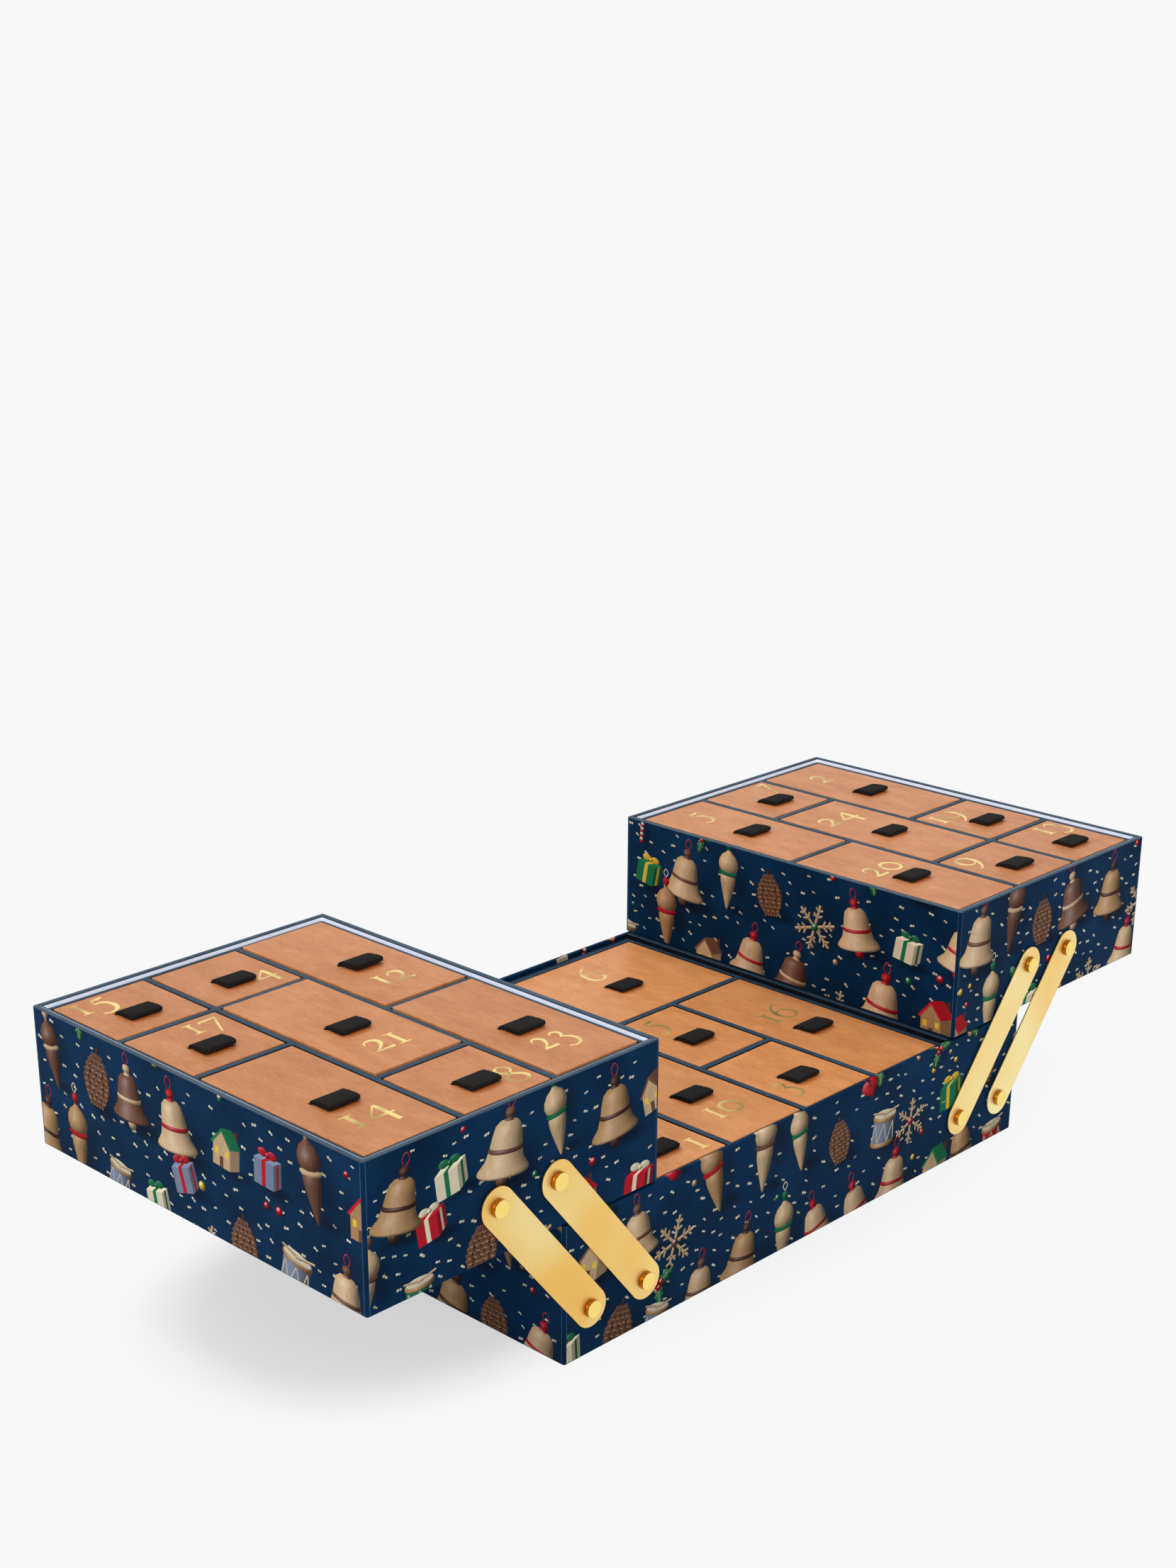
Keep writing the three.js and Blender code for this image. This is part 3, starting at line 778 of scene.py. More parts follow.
def cane(sheet, chance):
    """A striped sugar cane."""
    path = [(0, 2 * k) for k in range(12)]
    for k in range(1, 10):
        turn = math.radians(180 - 20 * k)
        path.append((5 + 5 * math.cos(turn), 22 + 5 * math.sin(turn)))
    second = chance.choice((RED, GREEN))
    for k, (start, end) in enumerate(zip(path, path[1:])):
        stick(sheet, start, end, 3.2, CREAM if k % 2 else second, 2)
    sheet.shadow(5, 6, 5, 16, 0.5)


def heart(sheet, chance):
    """A cut wooden heart on a cord."""
    ink = chance.choice((BEECH, OAK, RED))
    outline = []
    for k in range(26):
        t = 2 * math.pi * k / 26
        x = 8.2 * math.sin(t) ** 3
        y = 6.7 * math.cos(t) - 2.6 * math.cos(2 * t) - 1.0 * math.cos(3 * t) - 0.5 * math.cos(4 * t)
        outline.append((x, 8.6 + y))
    pillow(sheet, outline, ink, 2, 1.0, 0.2)
    ball(sheet, 0, 9.8, 0.8, BLACK, 3, 0.0)
    cord(sheet, ((0, 10), (-1.6, 15), (0, 19.5), (1.6, 15), (0, 10)), 0.7, CORD_RED, 4)
    sheet.shadow(5, 4, 9, 9, 0.5)


def mitten(sheet, chance):
    """A knitted mitten with a ribbed cuff."""
    ink = chance.choice((GREY_BLUE, ORANGE, RED))
    hand = ((-5, 6), (-5.6, 12), (-4.6, 17.6), (-1, 20.4), (3, 19.6), (5.4, 16), (5.6, 12.4))
    hand += ((8.4, 13.8), (10.4, 12.8), (10, 10.2), (6.4, 7.2), (4.6, 6))
    pillow(sheet, hand, ink, 2)
    for k in range(6):
        x = -4.6 + 1.84 * k
        stick(sheet, (x, 0.4), (x, 6.2), 2, CREAM, 3)
    for k in range(4):
        stick(sheet, (-4.8, 9 + 2.6 * k), (4.8, 9 + 2.6 * k), 0.6, CREAM, 3)
    sheet.shadow(6, 4, 10, 9, 0.5)


def holly(sheet, chance):
    """A sprig of holly with three berries."""
    for lean in (-62, 58, 178):
        way = Vector((math.sin(math.radians(lean)), math.cos(math.radians(lean))))
        side = Vector((way.y, -way.x))
        half = ((1.5, 1.2), (3.5, 3.2), (4.6, 1.8), (6.8, 4), (8.2, 2), (10.4, 2.8), (12.8, 0.2))
        leaf = [way * u + side * w for u, w in half]
        leaf += [way * u - side * w for u, w in reversed(half)]
        pillow(sheet, [(p.x, p.y) for p in leaf], LEAF, 1 + (lean > 100), 0.0, 0.25)
        stick(sheet, (way.x * 2, way.y * 2), (way.x * 11, way.y * 11), 0.4, CREAM, 3)
    for x, y in ((-1.8, 0.8), (1.9, 0.9), (0, -1.9)):
        ball(sheet, x, y, 2, RED, 4)
    sheet.shadow(3, -3, 12, 10, 0.45)


def bauble(sheet, chance):
    """A shiny round bauble with a brass cap."""
    radius = chance.uniform(4, 6.6)
    ink = chance.choice((RED, GREEN, RED, GREEN, BLUE, YELLOW))
    ball(sheet, 0, radius, radius, ink, 2)
    cap = ((1.2, 2 * radius + 1), (1.5, 2 * radius + 0.7), (1.6, 2 * radius - 0.5))
    turned(sheet, [(r, z, BRASS) for r, z in cap], 3, 0.5, 0.0)
    top = 2 * radius + 1
    cord(sheet, ((0, top), (-1, top + 1.6), (0, top + 2.8), (1, top + 1.6), (0, top)), 0.5, BRASS, 1)
    sheet.shadow(radius * 0.9, radius * 0.3, radius * 1.3, radius * 0.7, 0.8)


def bead(sheet, chance):
    """A loose round bead."""
    ink = chance.choice((RED, YELLOW, RED, GREEN, OAK))
    radius = chance.uniform(1.7, 2.6)
    ball(sheet, 0, radius, radius, ink, 2)
    sheet.shadow(radius * 0.9, 0.4, radius * 1.3, radius * 0.7, 0.7)


LARGE_SHAPES = (bell, drop, bell, pine_cone, snow_star, drum, drop, little_house, parcel, bell)
SMALL_SHAPES = (bauble, bauble, bead, heart, cane, holly, mitten, bead, bauble, parcel)
LARGE_ACROSS = 38 * MM
LARGE_UP = 47 * MM
# How the large shapes stray by chance: in columns, in millimetres up, in degrees and in size.
LARGE_STRAY = (-0.1, 0.1)
LARGE_SHIFT = (-4, 5)
LARGE_TURN = (-13, 13)
LARGE_SIZES = (0.9, 1.08)
LARGE_SUNK = 8 * MM
# The room that shapes keep free: half their width or height, and more above the large ones.
LARGE_HALF = 16 * MM
TALL_HALF = 20 * MM
LOW_HALF = 12 * MM
ROOM_ABOVE = 3 * MM
SMALL_HALF = 8 * MM
BEAD_HALF = 4 * MM
SMALL_TRIES = 500
SMALL_SUNK = 6 * MM
SMALL_TURN = (-25, 25)
SMALL_SIZES = (0.85, 1.05)


def drawn_sheet(length, height, seed):
    """One wall's shapes: large ones in staggered rows, and small ones in the gaps between."""
    chance = random.Random(seed)
    sheet = Sheet()
    taken = []
    columns = round(length / LARGE_ACROSS) + 1
    kinds = []
    for column in range(columns):
        for row in (1, 0):
            if not kinds:
                kinds = list(LARGE_SHAPES)
                chance.shuffle(kinds)
            across = (column + 0.5 * row + chance.uniform(*LARGE_STRAY)) * length / (columns - 0.5)
            up = row * LARGE_UP - LARGE_SUNK + chance.uniform(*LARGE_SHIFT) * MM
            turn = math.radians(chance.uniform(*LARGE_TURN))
            sheet.start(across, up, turn, chance.uniform(*LARGE_SIZES))
            shape = kinds.pop()
            shape(sheet, chance)
            tall = TALL_HALF if shape in (bell, drop, pine_cone) else LOW_HALF
            taken.append((across, up + tall, LARGE_HALF, tall + ROOM_ABOVE))
    for _ in range(SMALL_TRIES):
        across, up = chance.uniform(0, length), chance.uniform(-SMALL_SUNK, height)
        shape = chance.choice(SMALL_SHAPES)
        half = BEAD_HALF if shape is bead else SMALL_HALF
        clear = all(
            ((across - x) / (wide + half)) ** 4 + ((up + half - y) / (high + half)) ** 4 > 1
            for x, y, wide, high in taken
        )
        if clear:
            turn = math.radians(chance.uniform(*SMALL_TURN))
            sheet.start(across, up, turn, chance.uniform(*SMALL_SIZES))
            shape(sheet, chance)
            taken.append((across, up + half, half, half))
    return sheet


def shade_at(sheet, across, up):
    """How dark the printed shadows are at a place on the sheet."""
    light = 1.0
    for x, y, wide, high, depth in sheet.shadows:
        reach = ((across - x) / wide) ** 2 + ((up - y) / high) ** 2
        if reach < 1:
            light *= 1 - depth * (1 - reach) ** 1.2
    return 1 - light


def even_grid(low, high, first):
    """Even places between two corners, row by row, and the faces between them. first counts the
    points that come before."""
    counts = [max(round((high[k] - low[k]) / GROUND_PITCH), 1) for k in range(2)]
    places, faces = [], []
    for j in range(counts[1] + 1):
        for i in range(counts[0] + 1):
            across = low[0] + (high[0] - low[0]) * i / counts[0]
            places.append((across, low[1] + (high[1] - low[1]) * j / counts[1]))
    wide = counts[0] + 1
    for j in range(counts[1]):
        for i in range(counts[0]):
            a = first + j * wide + i
            faces.append((a, a + 1, a + 1 + wide, a + wide))
    return places, faces


def ground_grid(sheet, low, high):
    """The sheet's navy ground between two corners, with the shadows on it."""
    places, faces = even_grid(low, high, len(sheet.points))
    sheet.points += [(*place, PAPER_THICK) for place in places]
    sheet.inks += [(0, 0, 0, 0)] * len(places)
    sheet.grains += [0.0] * len(places)
    sheet.runs += [(0, 0, 0)] * len(places)
    sheet.faces += faces


def cut_sheet(sheet, low, high, folds=()):
    """The part of a sheet between two corners, as arrays of points, faces and printed values."""
    shape = bmesh.new()
    ink = shape.verts.layers.float_color.new("ink")
    grain = shape.verts.layers.float.new("grain")
    run = shape.verts.layers.float_vector.new("run")
    made = []
    for point, colour, wood, place in zip(sheet.points, sheet.inks, sheet.grains, sheet.runs):
        vert = shape.verts.new(point)
        vert[ink], vert[grain], vert[run] = colour, wood, place
        made.append(vert)
    for face in sheet.faces:
        shape.faces.new([made[i] for i in face])
    loose = [vert for vert in shape.verts if not vert.link_faces]
    bmesh.ops.delete(shape, geom=loose, context="VERTS")
    cuts = [((corner[0], 0, 0), (way, 0, 0)) for corner, way in ((low, -1), (high, 1))]
    cuts += [((0, corner[1], 0), (0, way, 0)) for corner, way in ((low, -1), (high, 1))]
    creases = [((0, fold, 0), (0, 1, 0)) for fold in folds]
    for k, (place, normal) in enumerate(cuts + creases):
        bmesh.ops.bisect_plane(
            shape,
            geom=shape.verts[:] + shape.edges[:] + shape.faces[:],
            dist=LEAST_LENGTH,
            plane_co=place,
            plane_no=normal,
            clear_outer=k < len(cuts),
        )
    bmesh.ops.dissolve_degenerate(shape, edges=shape.edges, dist=LEAST_LENGTH)
    loose = [vert for vert in shape.verts if not vert.link_faces]
    bmesh.ops.delete(shape, geom=loose, context="VERTS")
    shape.verts.index_update()
    points = [tuple(v.co) for v in shape.verts]
    values = [(tuple(v[ink]), v[grain], tuple(v[run])) for v in shape.verts]
    faces = [[v.index for v in face.verts] for face in shape.faces]
    shape.free()
    return points, faces, values


def laid_out(height):
    """How a distance up the sheet runs: up the wall, over the rim and down inside, as the
    distance in from the wall's face, the height, and the way that the paper faces."""
    straight = height - RIM_ROUND

    def place(up):
        if up <= straight:
            return 0.0, up, (1.0, 0.0)
        over = up - straight
        if over < RIM_BEND:
            turn = over / RIM_ROUND
            across, rise = 1 - math.cos(turn), math.sin(turn)
            return RIM_ROUND * across, straight + RIM_ROUND * rise, (math.cos(turn), math.sin(turn))
        over -= RIM_BEND
        if over < RIM_FLAT:
            return RIM_ROUND + over, height, (0.0, 1.0)
        over -= RIM_FLAT
        if over < RIM_BEND:
            turn = over / RIM_ROUND
            across, rise = math.sin(turn), math.cos(turn)
            inward = RIM_ROUND + RIM_FLAT + RIM_ROUND * across
            return inward, straight + RIM_ROUND * rise, (-math.sin(turn), math.cos(turn))
        return 2 * RIM_ROUND + RIM_FLAT, straight - (over - RIM_BEND), (-1.0, 0.0)

    return place


def note(made, name, kind, values, domain="POINT"):
    """Keeps values on a mesh, one for each point or face, under a name that a material reads."""
    channel = {"FLOAT_COLOR": "color", "FLOAT_VECTOR": "vector"}.get(kind, "value")
    made.data.attributes.new(name, kind, domain).data.foreach_set(channel, values)


def skin(name, pieces, sheet, lay, wall):
    """A closed thin skin laid on a wall, from the cut pieces of its sheet. wall gives its start,
    its direction, the way it faces and its foot."""
    start, along, outward, foot = wall
    points, faces, inks, grains, runs, shades = [], [], [], [], [], []
    for flat, flat_faces, values in pieces:
        first, count = len(points), len(flat)
        for under in (False, True):
            for (across, up, lift), (ink, grain, run) in zip(flat, values):
                inward, height, (out, rise) = lay(up)
                lift = -PAPER_THICK / 2 if under else lift
                place = start + along * across + outward * (out * lift - inward)
                points.append((place.x, place.y, foot + height + rise * lift))
                inks += ink
                grains.append(grain)
                runs += run
                bare = ink[3] < 0.5 and not under
                shades.append(shade_at(sheet, across, up) if bare else 0.0)
        sides = {}
        for face in flat_faces:
            faces.append([first + i for i in face])
            faces.append([first + count + i for i in reversed(face)])
            sides.update(dict.fromkeys(zip(face, face[1:] + face[:1])))
        for a, b in sides:
            if (b, a) not in sides:
                faces.append([first + b, first + a, first + count + a, first + count + b])
    made = modelled(name, points, faces, PRINTED_PAPER)
    note(made, "ink", "FLOAT_COLOR", inks)
    note(made, "grain", "FLOAT", grains)
    note(made, "run", "FLOAT_VECTOR", runs)
    note(made, "shade", "FLOAT", shades)
    return made


def attribute(tree, name, output="Fac"):
    return add(tree, "ShaderNodeAttribute", attribute_name=name).outputs[output]


def veneer_grain_group():
    """Veneer cut along Y: fine streaks, soft bands and short dark pores, from 0 to 1."""
    tree, given, result = shader_group(
        "veneer_grain",
        [("Vector", "NodeSocketVector", None), ("Streak", "NodeSocketFloat", 0.0008)],
        [("Tone", "NodeSocketFloat"), ("Pores", "NodeSocketFloat"), ("Height", "NodeSocketFloat")],
    )
    vector = given.outputs["Vector"]
    fine_scale = math_node(tree, "DIVIDE", 1.0, given.outputs["Streak"])
    layers = {}
    for label, stretch, share, detail in (
        ("streaks", 0.1, 1.0, 4.0),
        ("bands", 0.35, 0.05, 2.0),
        ("pores", 0.16, 2.0, 1.0),
    ):
        run = add(tree, "ShaderNodeMapping", {"Vector": vector, "Scale": (1, stretch, 1)})
        scale = math_node(tree, "MULTIPLY", fine_scale, share)
        layers[label] = noise(tree, run.outputs[0], scale, detail, Roughness=0.65)
    both = math_node(tree, "MULTIPLY_ADD", layers["bands"], 0.7, layers["streaks"])
    tree.links.new(remapped(tree, both, 0.62, 1.08, 0.0, 1.0), result.inputs["Tone"])
    pores = remapped(tree, layers["pores"], 0.6, 0.72, 0.0, 1.0)
    tree.links.new(pores, result.inputs["Pores"])
    height = math_node(tree, "SUBTRACT", layers["streaks"], pores)
    tree.links.new(height, result.inputs["Height"])
    return tree


VENEER_GRAIN = veneer_grain_group()


def printed_paper():
    made, tree, shader = finish("printed_paper", Roughness=0.6, Specular_IOR_Level=0.04)
    ground = place_group(tree, NAVY_GROUND, Vector=object_place(tree))
    shadow = math_node(tree, "MULTIPLY", attribute(tree, "shade"), 0.9)
    floor = mixed(tree, shadow, ground["Color"], paint("040a14"))
    wood = place_group(tree, VENEER_GRAIN, Vector=attribute(tree, "run", "Vector"), Streak=0.0005)
    streak = remapped(tree, wood["Tone"], 0.0, 1.0, 0.78, 1.1)
    worn = mixed(tree, attribute(tree, "grain"), (1, 1, 1, 1), streak)
    sockets = {0: attribute(tree, "ink", "Color"), 1: worn}
    inked = add(tree, "ShaderNodeVectorMath", sockets, operation="MULTIPLY")
    cover = attribute(tree, "ink", "Alpha")
    tree.links.new(mixed(tree, cover, floor, inked.outputs[0]), shader.inputs["Base Color"])
    bumped(tree, shader, ground["Height"], 0.00004, 0.5)
    return made


def walls_of(node):
    """The four walls of a box, each with its name, place, length and height."""
    low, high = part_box(node)
    for name, corner, along, outward in (
        ("front", (low.x, low.y), (1, 0), (0, -1)),
        ("right", (high.x, low.y), (0, 1), (1, 0)),
        ("back", (high.x, high.y), (-1, 0), (0, 1)),
        ("left", (low.x, high.y), (0, -1), (-1, 0)),
    ):
        length = high.x - low.x if along[0] else high.y - low.y
        outward = Vector((*outward, 0))
        start = Vector((*corner, 0)) - outward * PRINT_ROOM
        yield name, (start, Vector((*along, 0)), outward, low.z), length, high.z - low.z


def print_box(body):
    """Lays the printed sheets on all four walls of a box, and gives them by their walls."""
    sheets = {}
    for k, (face, wall, length, height) in enumerate(walls_of(body + "_box")):
        sheet = sheets[face] = drawn_sheet(length, height + WALL + TURN_IN, SHEET_SEEDS[body] + k)
        top = height - RIM_ROUND
        low, high = (SEAM_FROM_CORNER, FOOT_MARGIN), (length - SEAM_FROM_CORNER, top)
        ground_grid(sheet, low, high)
        pieces = [cut_sheet(sheet, low, high)]
        if body == "base":
            outer, inner = top + RIM_BEND, top + RIM_BEND + RIM_FLAT
            folds = [top + RIM_BEND / 2, outer, inner, inner + RIM_BEND / 2, inner + RIM_BEND]
            end = folds[-1] + TURN_IN - RIM_ROUND
            low, high = (RIM_END_MARGIN, top), (length - RIM_END_MARGIN, end)
            ground_grid(sheet, low, high)
            pieces.append(cut_sheet(sheet, low, high, folds))
        made = skin(f"{body}_{face}_print", pieces, sheet, laid_out(height), wall)
        fitted(made, body, "navy_print_paper")
    return sheets


PRINTED_PAPER = printed_paper()
SHEETS = {body: print_box(body) for body in BOX_BODIES}

# Stars and seams. Small pairs of cream stars are strewn over the navy ground, and a fine raised
# line runs down each side of every upright corner, where the paper is creased round the board. Its
# pale colour is a painted highlight, for the light that the creases catch.
STAR_POINTS = 5
STAR_ARMS = ((-0.75, 0.18, 1.2, 0.3), (0.85, -0.22, 1.05, 0.9))
STAR_NOTCH = 0.5
STAR_SQUASH = 0.85
STAR_THICK = 0.012 * MM
STAR_CROWN = 1.2 * STAR_THICK
STAR_APART = 6.8 * MM
STARS_PER_AREA = 17000.0
STAR_MARGIN = 3 * MM
STAR_SPIN = 0.5
STAR_SIZES = (0.7, 1.15)
STAR_SEED = 40
SEAM_WIDTH = 0.16 * MM
SEAM_PROUD = 0.05 * MM
SEAM_SUNK = 0.02 * MM
# A seam's section, from side to side in half widths, and its height over the paper.
SEAM_SECTION = ((-1, -SEAM_SUNK), (-0.6, SEAM_PROUD), (0.6, SEAM_PROUD), (1, -SEAM_SUNK))


def node_tree(name, inputs):
    """An empty Geometry Nodes tree with named inputs, and its own input and output nodes."""
    tree = bpy.data.node_groups.new(name, "GeometryNodeTree")
    tree.interface.new_socket("Geometry", in_out="INPUT", socket_type="NodeSocketGeometry")
    for label, kind in inputs:
        tree.interface.new_socket(label, in_out="INPUT", socket_type=kind)
    tree.interface.new_socket("Geometry", in_out="OUTPUT", socket_type="NodeSocketGeometry")
    return tree, add(tree, "NodeGroupInput").outputs, add(tree, "NodeGroupOutput").inputs


def grown(made, tree, **values):
    """Runs a Geometry Nodes tree on an object and keeps its plain mesh."""
    modifier = made.modifiers.new(tree.name, "NODES")
    modifier.node_group = tree
    for item in tree.interface.items_tree:
        if item.in_out == "INPUT" and item.name in values:
            modifier[item.identifier] = values[item.name]
    return baked(made)


def star_pattern():
    """A pair of flat stars, closed below."""
    points, faces = [], []
    for x, y, radius, turn in STAR_ARMS:
        for z in (STAR_THICK, -STAR_THICK):
            for k in range(2 * STAR_POINTS):
                angle = turn + math.pi * k / STAR_POINTS
                reach = radius * (STAR_NOTCH if k % 2 else 1.0) * MM
                across = x * MM + reach * math.cos(angle)
                points.append((across, (y * MM + reach * math.sin(angle)) * STAR_SQUASH, z))
        count = 2 * STAR_POINTS
        first = len(points) - 2 * count
        points.append((x * MM, y * MM * STAR_SQUASH, STAR_CROWN))
        for k in range(count):
            a, b = first + k, first + (k + 1) % count
            faces.append((a, b, len(points) - 1))
            faces.append((b, a, a + count, b + count))
        faces.append(tuple(first + count + k for k in reversed(range(count))))
    return modelled("star_pattern", points, faces)


def star_tree():
    """Stars strewn over a surface, each turned and sized by chance."""
    inputs = [("Star", "NodeSocketObject"), ("Apart", "NodeSocketFloat")]
    inputs += [("Crowd", "NodeSocketFloat"), ("Seed", "NodeSocketInt")]
    inputs += [("Foil", "NodeSocketMaterial")]
    tree, given, result = node_tree("strewn_stars", inputs)
    spread = {"Mesh": given["Geometry"], "Distance Min": given["Apart"]}
    spread.update({"Density Max": given["Crowd"], "Seed": given["Seed"]})
    strewn = add(
        tree, "GeometryNodeDistributePointsOnFaces", spread, distribute_method="POISSON"
    ).outputs
    pattern = add(tree, "GeometryNodeObjectInfo", {"Object": given["Star"]}).outputs["Geometry"]
    spin = add(tree, "FunctionNodeRandomValue", {"Seed": given["Seed"]}, data_type="FLOAT_VECTOR")
    spin.inputs[0].default_value = (0, 0, -STAR_SPIN)
    spin.inputs[1].default_value = (0, 0, STAR_SPIN)
    turned_star = add(tree, "FunctionNodeRotateRotation", rotation_space="LOCAL")
    tree.links.new(strewn["Rotation"], turned_star.inputs[0])
    tree.links.new(spin.outputs[0], turned_star.inputs[1])
    sizes = {2: STAR_SIZES[0], 3: STAR_SIZES[1]}
    grow = add(tree, "FunctionNodeRandomValue", sizes, data_type="FLOAT")
    placed = {"Points": strewn["Points"], "Instance": pattern}
    placed.update({"Rotation": turned_star.outputs[0], "Scale": grow.outputs[1]})
    stars = add(tree, "GeometryNodeInstanceOnPoints", placed).outputs[0]
    real = add(tree, "GeometryNodeRealizeInstances", {"Geometry": stars}).outputs[0]
    dressed = add(tree, "GeometryNodeSetMaterial", {"Geometry": real, "Material": given["Foil"]})
    tree.links.new(dressed.outputs[0], result["Geometry"])
    return tree


def star_foil():
    made, tree, shader = finish("cream_star_foil", Roughness=0.4, Specular_IOR_Level=0.3)
    glint = noise(tree, object_place(tree), 900.0, 1.0)
    share = remapped(tree, glint, 0.4, 0.62, 0.0, 1.0)
    cream = mixed(tree, share, paint("c6ba90"), paint("fbf6dc"))
    shaded = math_node(tree, "MULTIPLY", attribute(tree, "shade"), 0.85)
    tree.links.new(mixed(tree, shaded, cream, paint("0a1422")), shader.inputs["Base Color"])
    bumped(tree, shader, glint, 0.00003, 0.4)
    return made


def wall_point(wall, across, up, out):
    start, along, outward, foot = wall
    place = start + along * across + outward * out
    return (place.x, place.y, foot + up)


def strew_stars(body, seed):
    """The stars of one box as one piece."""
    points, faces, shades = [], [], []
    for face, wall, length, height in walls_of(body + "_box"):
        low, high = (STAR_MARGIN, STAR_MARGIN), (length - STAR_MARGIN, height - STAR_MARGIN)
        places, wall_faces = even_grid(low, high, len(points))
        faces += wall_faces
        for across, up in places:
            points.append(wall_point(wall, across, up, PAPER_THICK + STAR_THICK))
            shades.append(shade_at(SHEETS[body][face], across, up))
    made = modelled(body + "_stars", points, faces)
    note(made, "shade", "FLOAT", shades)
    sizes = {"Apart": STAR_APART, "Crowd": STARS_PER_AREA, "Seed": seed}
    grown(made, STAR_TREE, Star=STAR, Foil=STAR_FOIL, **sizes)
    fitted(made, body, "navy_print_paper")


def seam_lines(body):
    """The fine lines beside a box's upright corners."""
    points, faces = [], []
    for face, wall, length, height in walls_of(body + "_box"):
        for middle_of_line in (SEAM_FROM_CORNER, length - SEAM_FROM_CORNER):
            first = len(points)
            for up in (FOOT_MARGIN, height - RIM_ROUND):
                for side, out in SEAM_SECTION:
                    across = middle_of_line + side * SEAM_WIDTH / 2
                    points.append(wall_point(wall, across, up, out))
            for a in range(4):
                b = (a + 1) % 4
                faces.append((first + a, first + b, first + 4 + b, first + 4 + a))
            faces.append(tuple(first + k for k in reversed(range(4))))
            faces.append(tuple(first + 4 + k for k in range(4)))
    fitted(modelled(body + "_seams", points, faces, SEAM_HIGHLIGHT_PAPER), body, "slate_board")


STAR = star_pattern()
STAR_TREE = star_tree()
STAR_FOIL = star_foil()
# The seams' pale blue is a painted highlight on the creases.
SEAM_HIGHLIGHT_PAPER = slate_paper("seam_line", paint("4c6f93"), paint("7d9dbd"))
for k, body in enumerate(BOX_BODIES):
    strew_stars(body, STAR_SEED + k)
    seam_lines(body)
bpy.data.objects.remove(STAR)

# Linings. A ring of glossy pale board stands against each tray's walls. Its dark slate top edge
# lies a little below the rim, so a bright strip shows above the compartments. The board gives off a
# painted glow, light of its own though it is no lamp, which keeps the strip bright where the walls
# shade it.
WELD = 0.01 * MM
BOARD_EDGE = 0.2 * MM
EDGE_STEPS = 3
# How much a face has to look up or down to count as flat.
FLAT_FROM = 0.9
PALE = paint("eef3ff")
PALE_SHADE = paint("dde6fa")
# The strength of the board's painted glow.
PAINTED_GLOW = 0.42


def bevelled(made, edge):
    """Rounds an object's sharp edges, and gives its plain mesh."""
    bevel = made.modifiers.new("edge", "BEVEL")
    bevel.width = edge
    bevel.segments = EDGE_STEPS
    bevel.limit_method = "ANGLE"
    bevel.angle_limit = SHARP_ABOVE
    return evened(baked(made))


def softened(node, edge, *materials):
    """A copy of a construction solid with its faces merged and its edges rounded."""
    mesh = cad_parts[node].data.copy()
    mesh.materials.clear()
    made = new_object(node + "_finished", mesh, *materials)
    shape = bmesh.new()
    shape.from_mesh(made.data)
    bmesh.ops.remove_doubles(shape, verts=shape.verts, dist=WELD)
    flat = {"angle_face_threshold": math.radians(1), "angle_shape_threshold": math.pi}
    bmesh.ops.join_triangles(shape, faces=shape.faces[:], **flat)
    shape.to_mesh(made.data)
    shape.free()
    return bevelled(made, edge)


def paint_tops(made, index, least):
    """Gives the faces that look up another of the piece's materials. least is how much they do."""
    for face in made.data.polygons:
        if face.normal.z > least:
            face.material_index = index


def glossy_board():
    # The emission is a painted glow: it keeps the strip bright in the walls' shade.
    glow = {"Emission_Color": PALE, "Emission_Strength": PAINTED_GLOW}
    made, tree, shader = finish("glossy_pale_board", Roughness=0.22, Coat_Weight=0.3, **glow)
    fibre = place_group(tree, PAPER_FIBRE, Vector=object_place(tree), Fibre=0.0009)
    tree.links.new(mixed(tree, fibre["Tone"], PALE_SHADE, PALE), shader.inputs["Base Color"])
    bumped(tree, shader, fibre["Height"], 0.00003, 0.4)
    return made


GLOSSY_BOARD_PAINTED_GLOW = glossy_board()
LINING_EDGE = slate_paper("lining_edge_paper", paint("1f3243"), paint("2f4558"))
for side in ("left", "right"):
    lining = softened(side + "_tray_lining", BOARD_EDGE, GLOSSY_BOARD_PAINTED_GLOW, LINING_EDGE)
    paint_tops(lining, 1, FLAT_FROM)
    fitted(lining, side + "_tray", "pale_lining", side + "_tray_lining")

# Dividers. Board strips make the compartments, with a seat inside each one for its lid. Their
# rounded tops are wrapped in slate blue paper. Their sides are painted nearly black, painted shade
# for the dark gaps beside the lids. Two decks of the same board close the base's ends, where the
# trays rest. The base's board is painted darker than the trays', painted shade for its place deep in
# the base.
DIVIDER_EDGE = 0.8 * MM
DECK_EDGE = 0.4 * MM
ROUNDED_TOP = 0.35
DIVIDER_LIGHT = paint("435766")
DIVIDER_DARK = paint("2f4252")
# The base's slate is painted darker than the trays': painted shade for the base's deep well.
BASE_DIVIDER_LIGHT = paint("3a5266")
BASE_DIVIDER_DARK = paint("263d51")


def divider_piece(node, body, edge, board):
    """Dividers or a deck, with sides painted nearly black as painted shade, and papered on top."""
    made = softened(node, edge, SHADE_PAINTED_PAPER, board)
    paint_tops(made, 1, ROUNDED_TOP)
    fitted(made, body, "slate_board", node)


# Near-black paper for the sides: painted shade in the gaps beside the lids.
SHADE_PAINTED_PAPER = slate_paper("compartment_paper", paint("070b10"), paint("111922"))
TRAY_DIVIDER_BOARD = slate_paper("tray_divider_board", DIVIDER_DARK, DIVIDER_LIGHT)
BASE_DIVIDER_BOARD = slate_paper("base_divider_board", BASE_DIVIDER_DARK, BASE_DIVIDER_LIGHT)
for side in ("left", "right"):
    divider_piece(side + "_tray_divider", side + "_tray", DIVIDER_EDGE, TRAY_DIVIDER_BOARD)
    divider_piece(f"base_{side}_deck", "base", DECK_EDGE, BASE_DIVIDER_BOARD)
divider_piece("base_divider", "base", DIVIDER_EDGE, BASE_DIVIDER_BOARD)

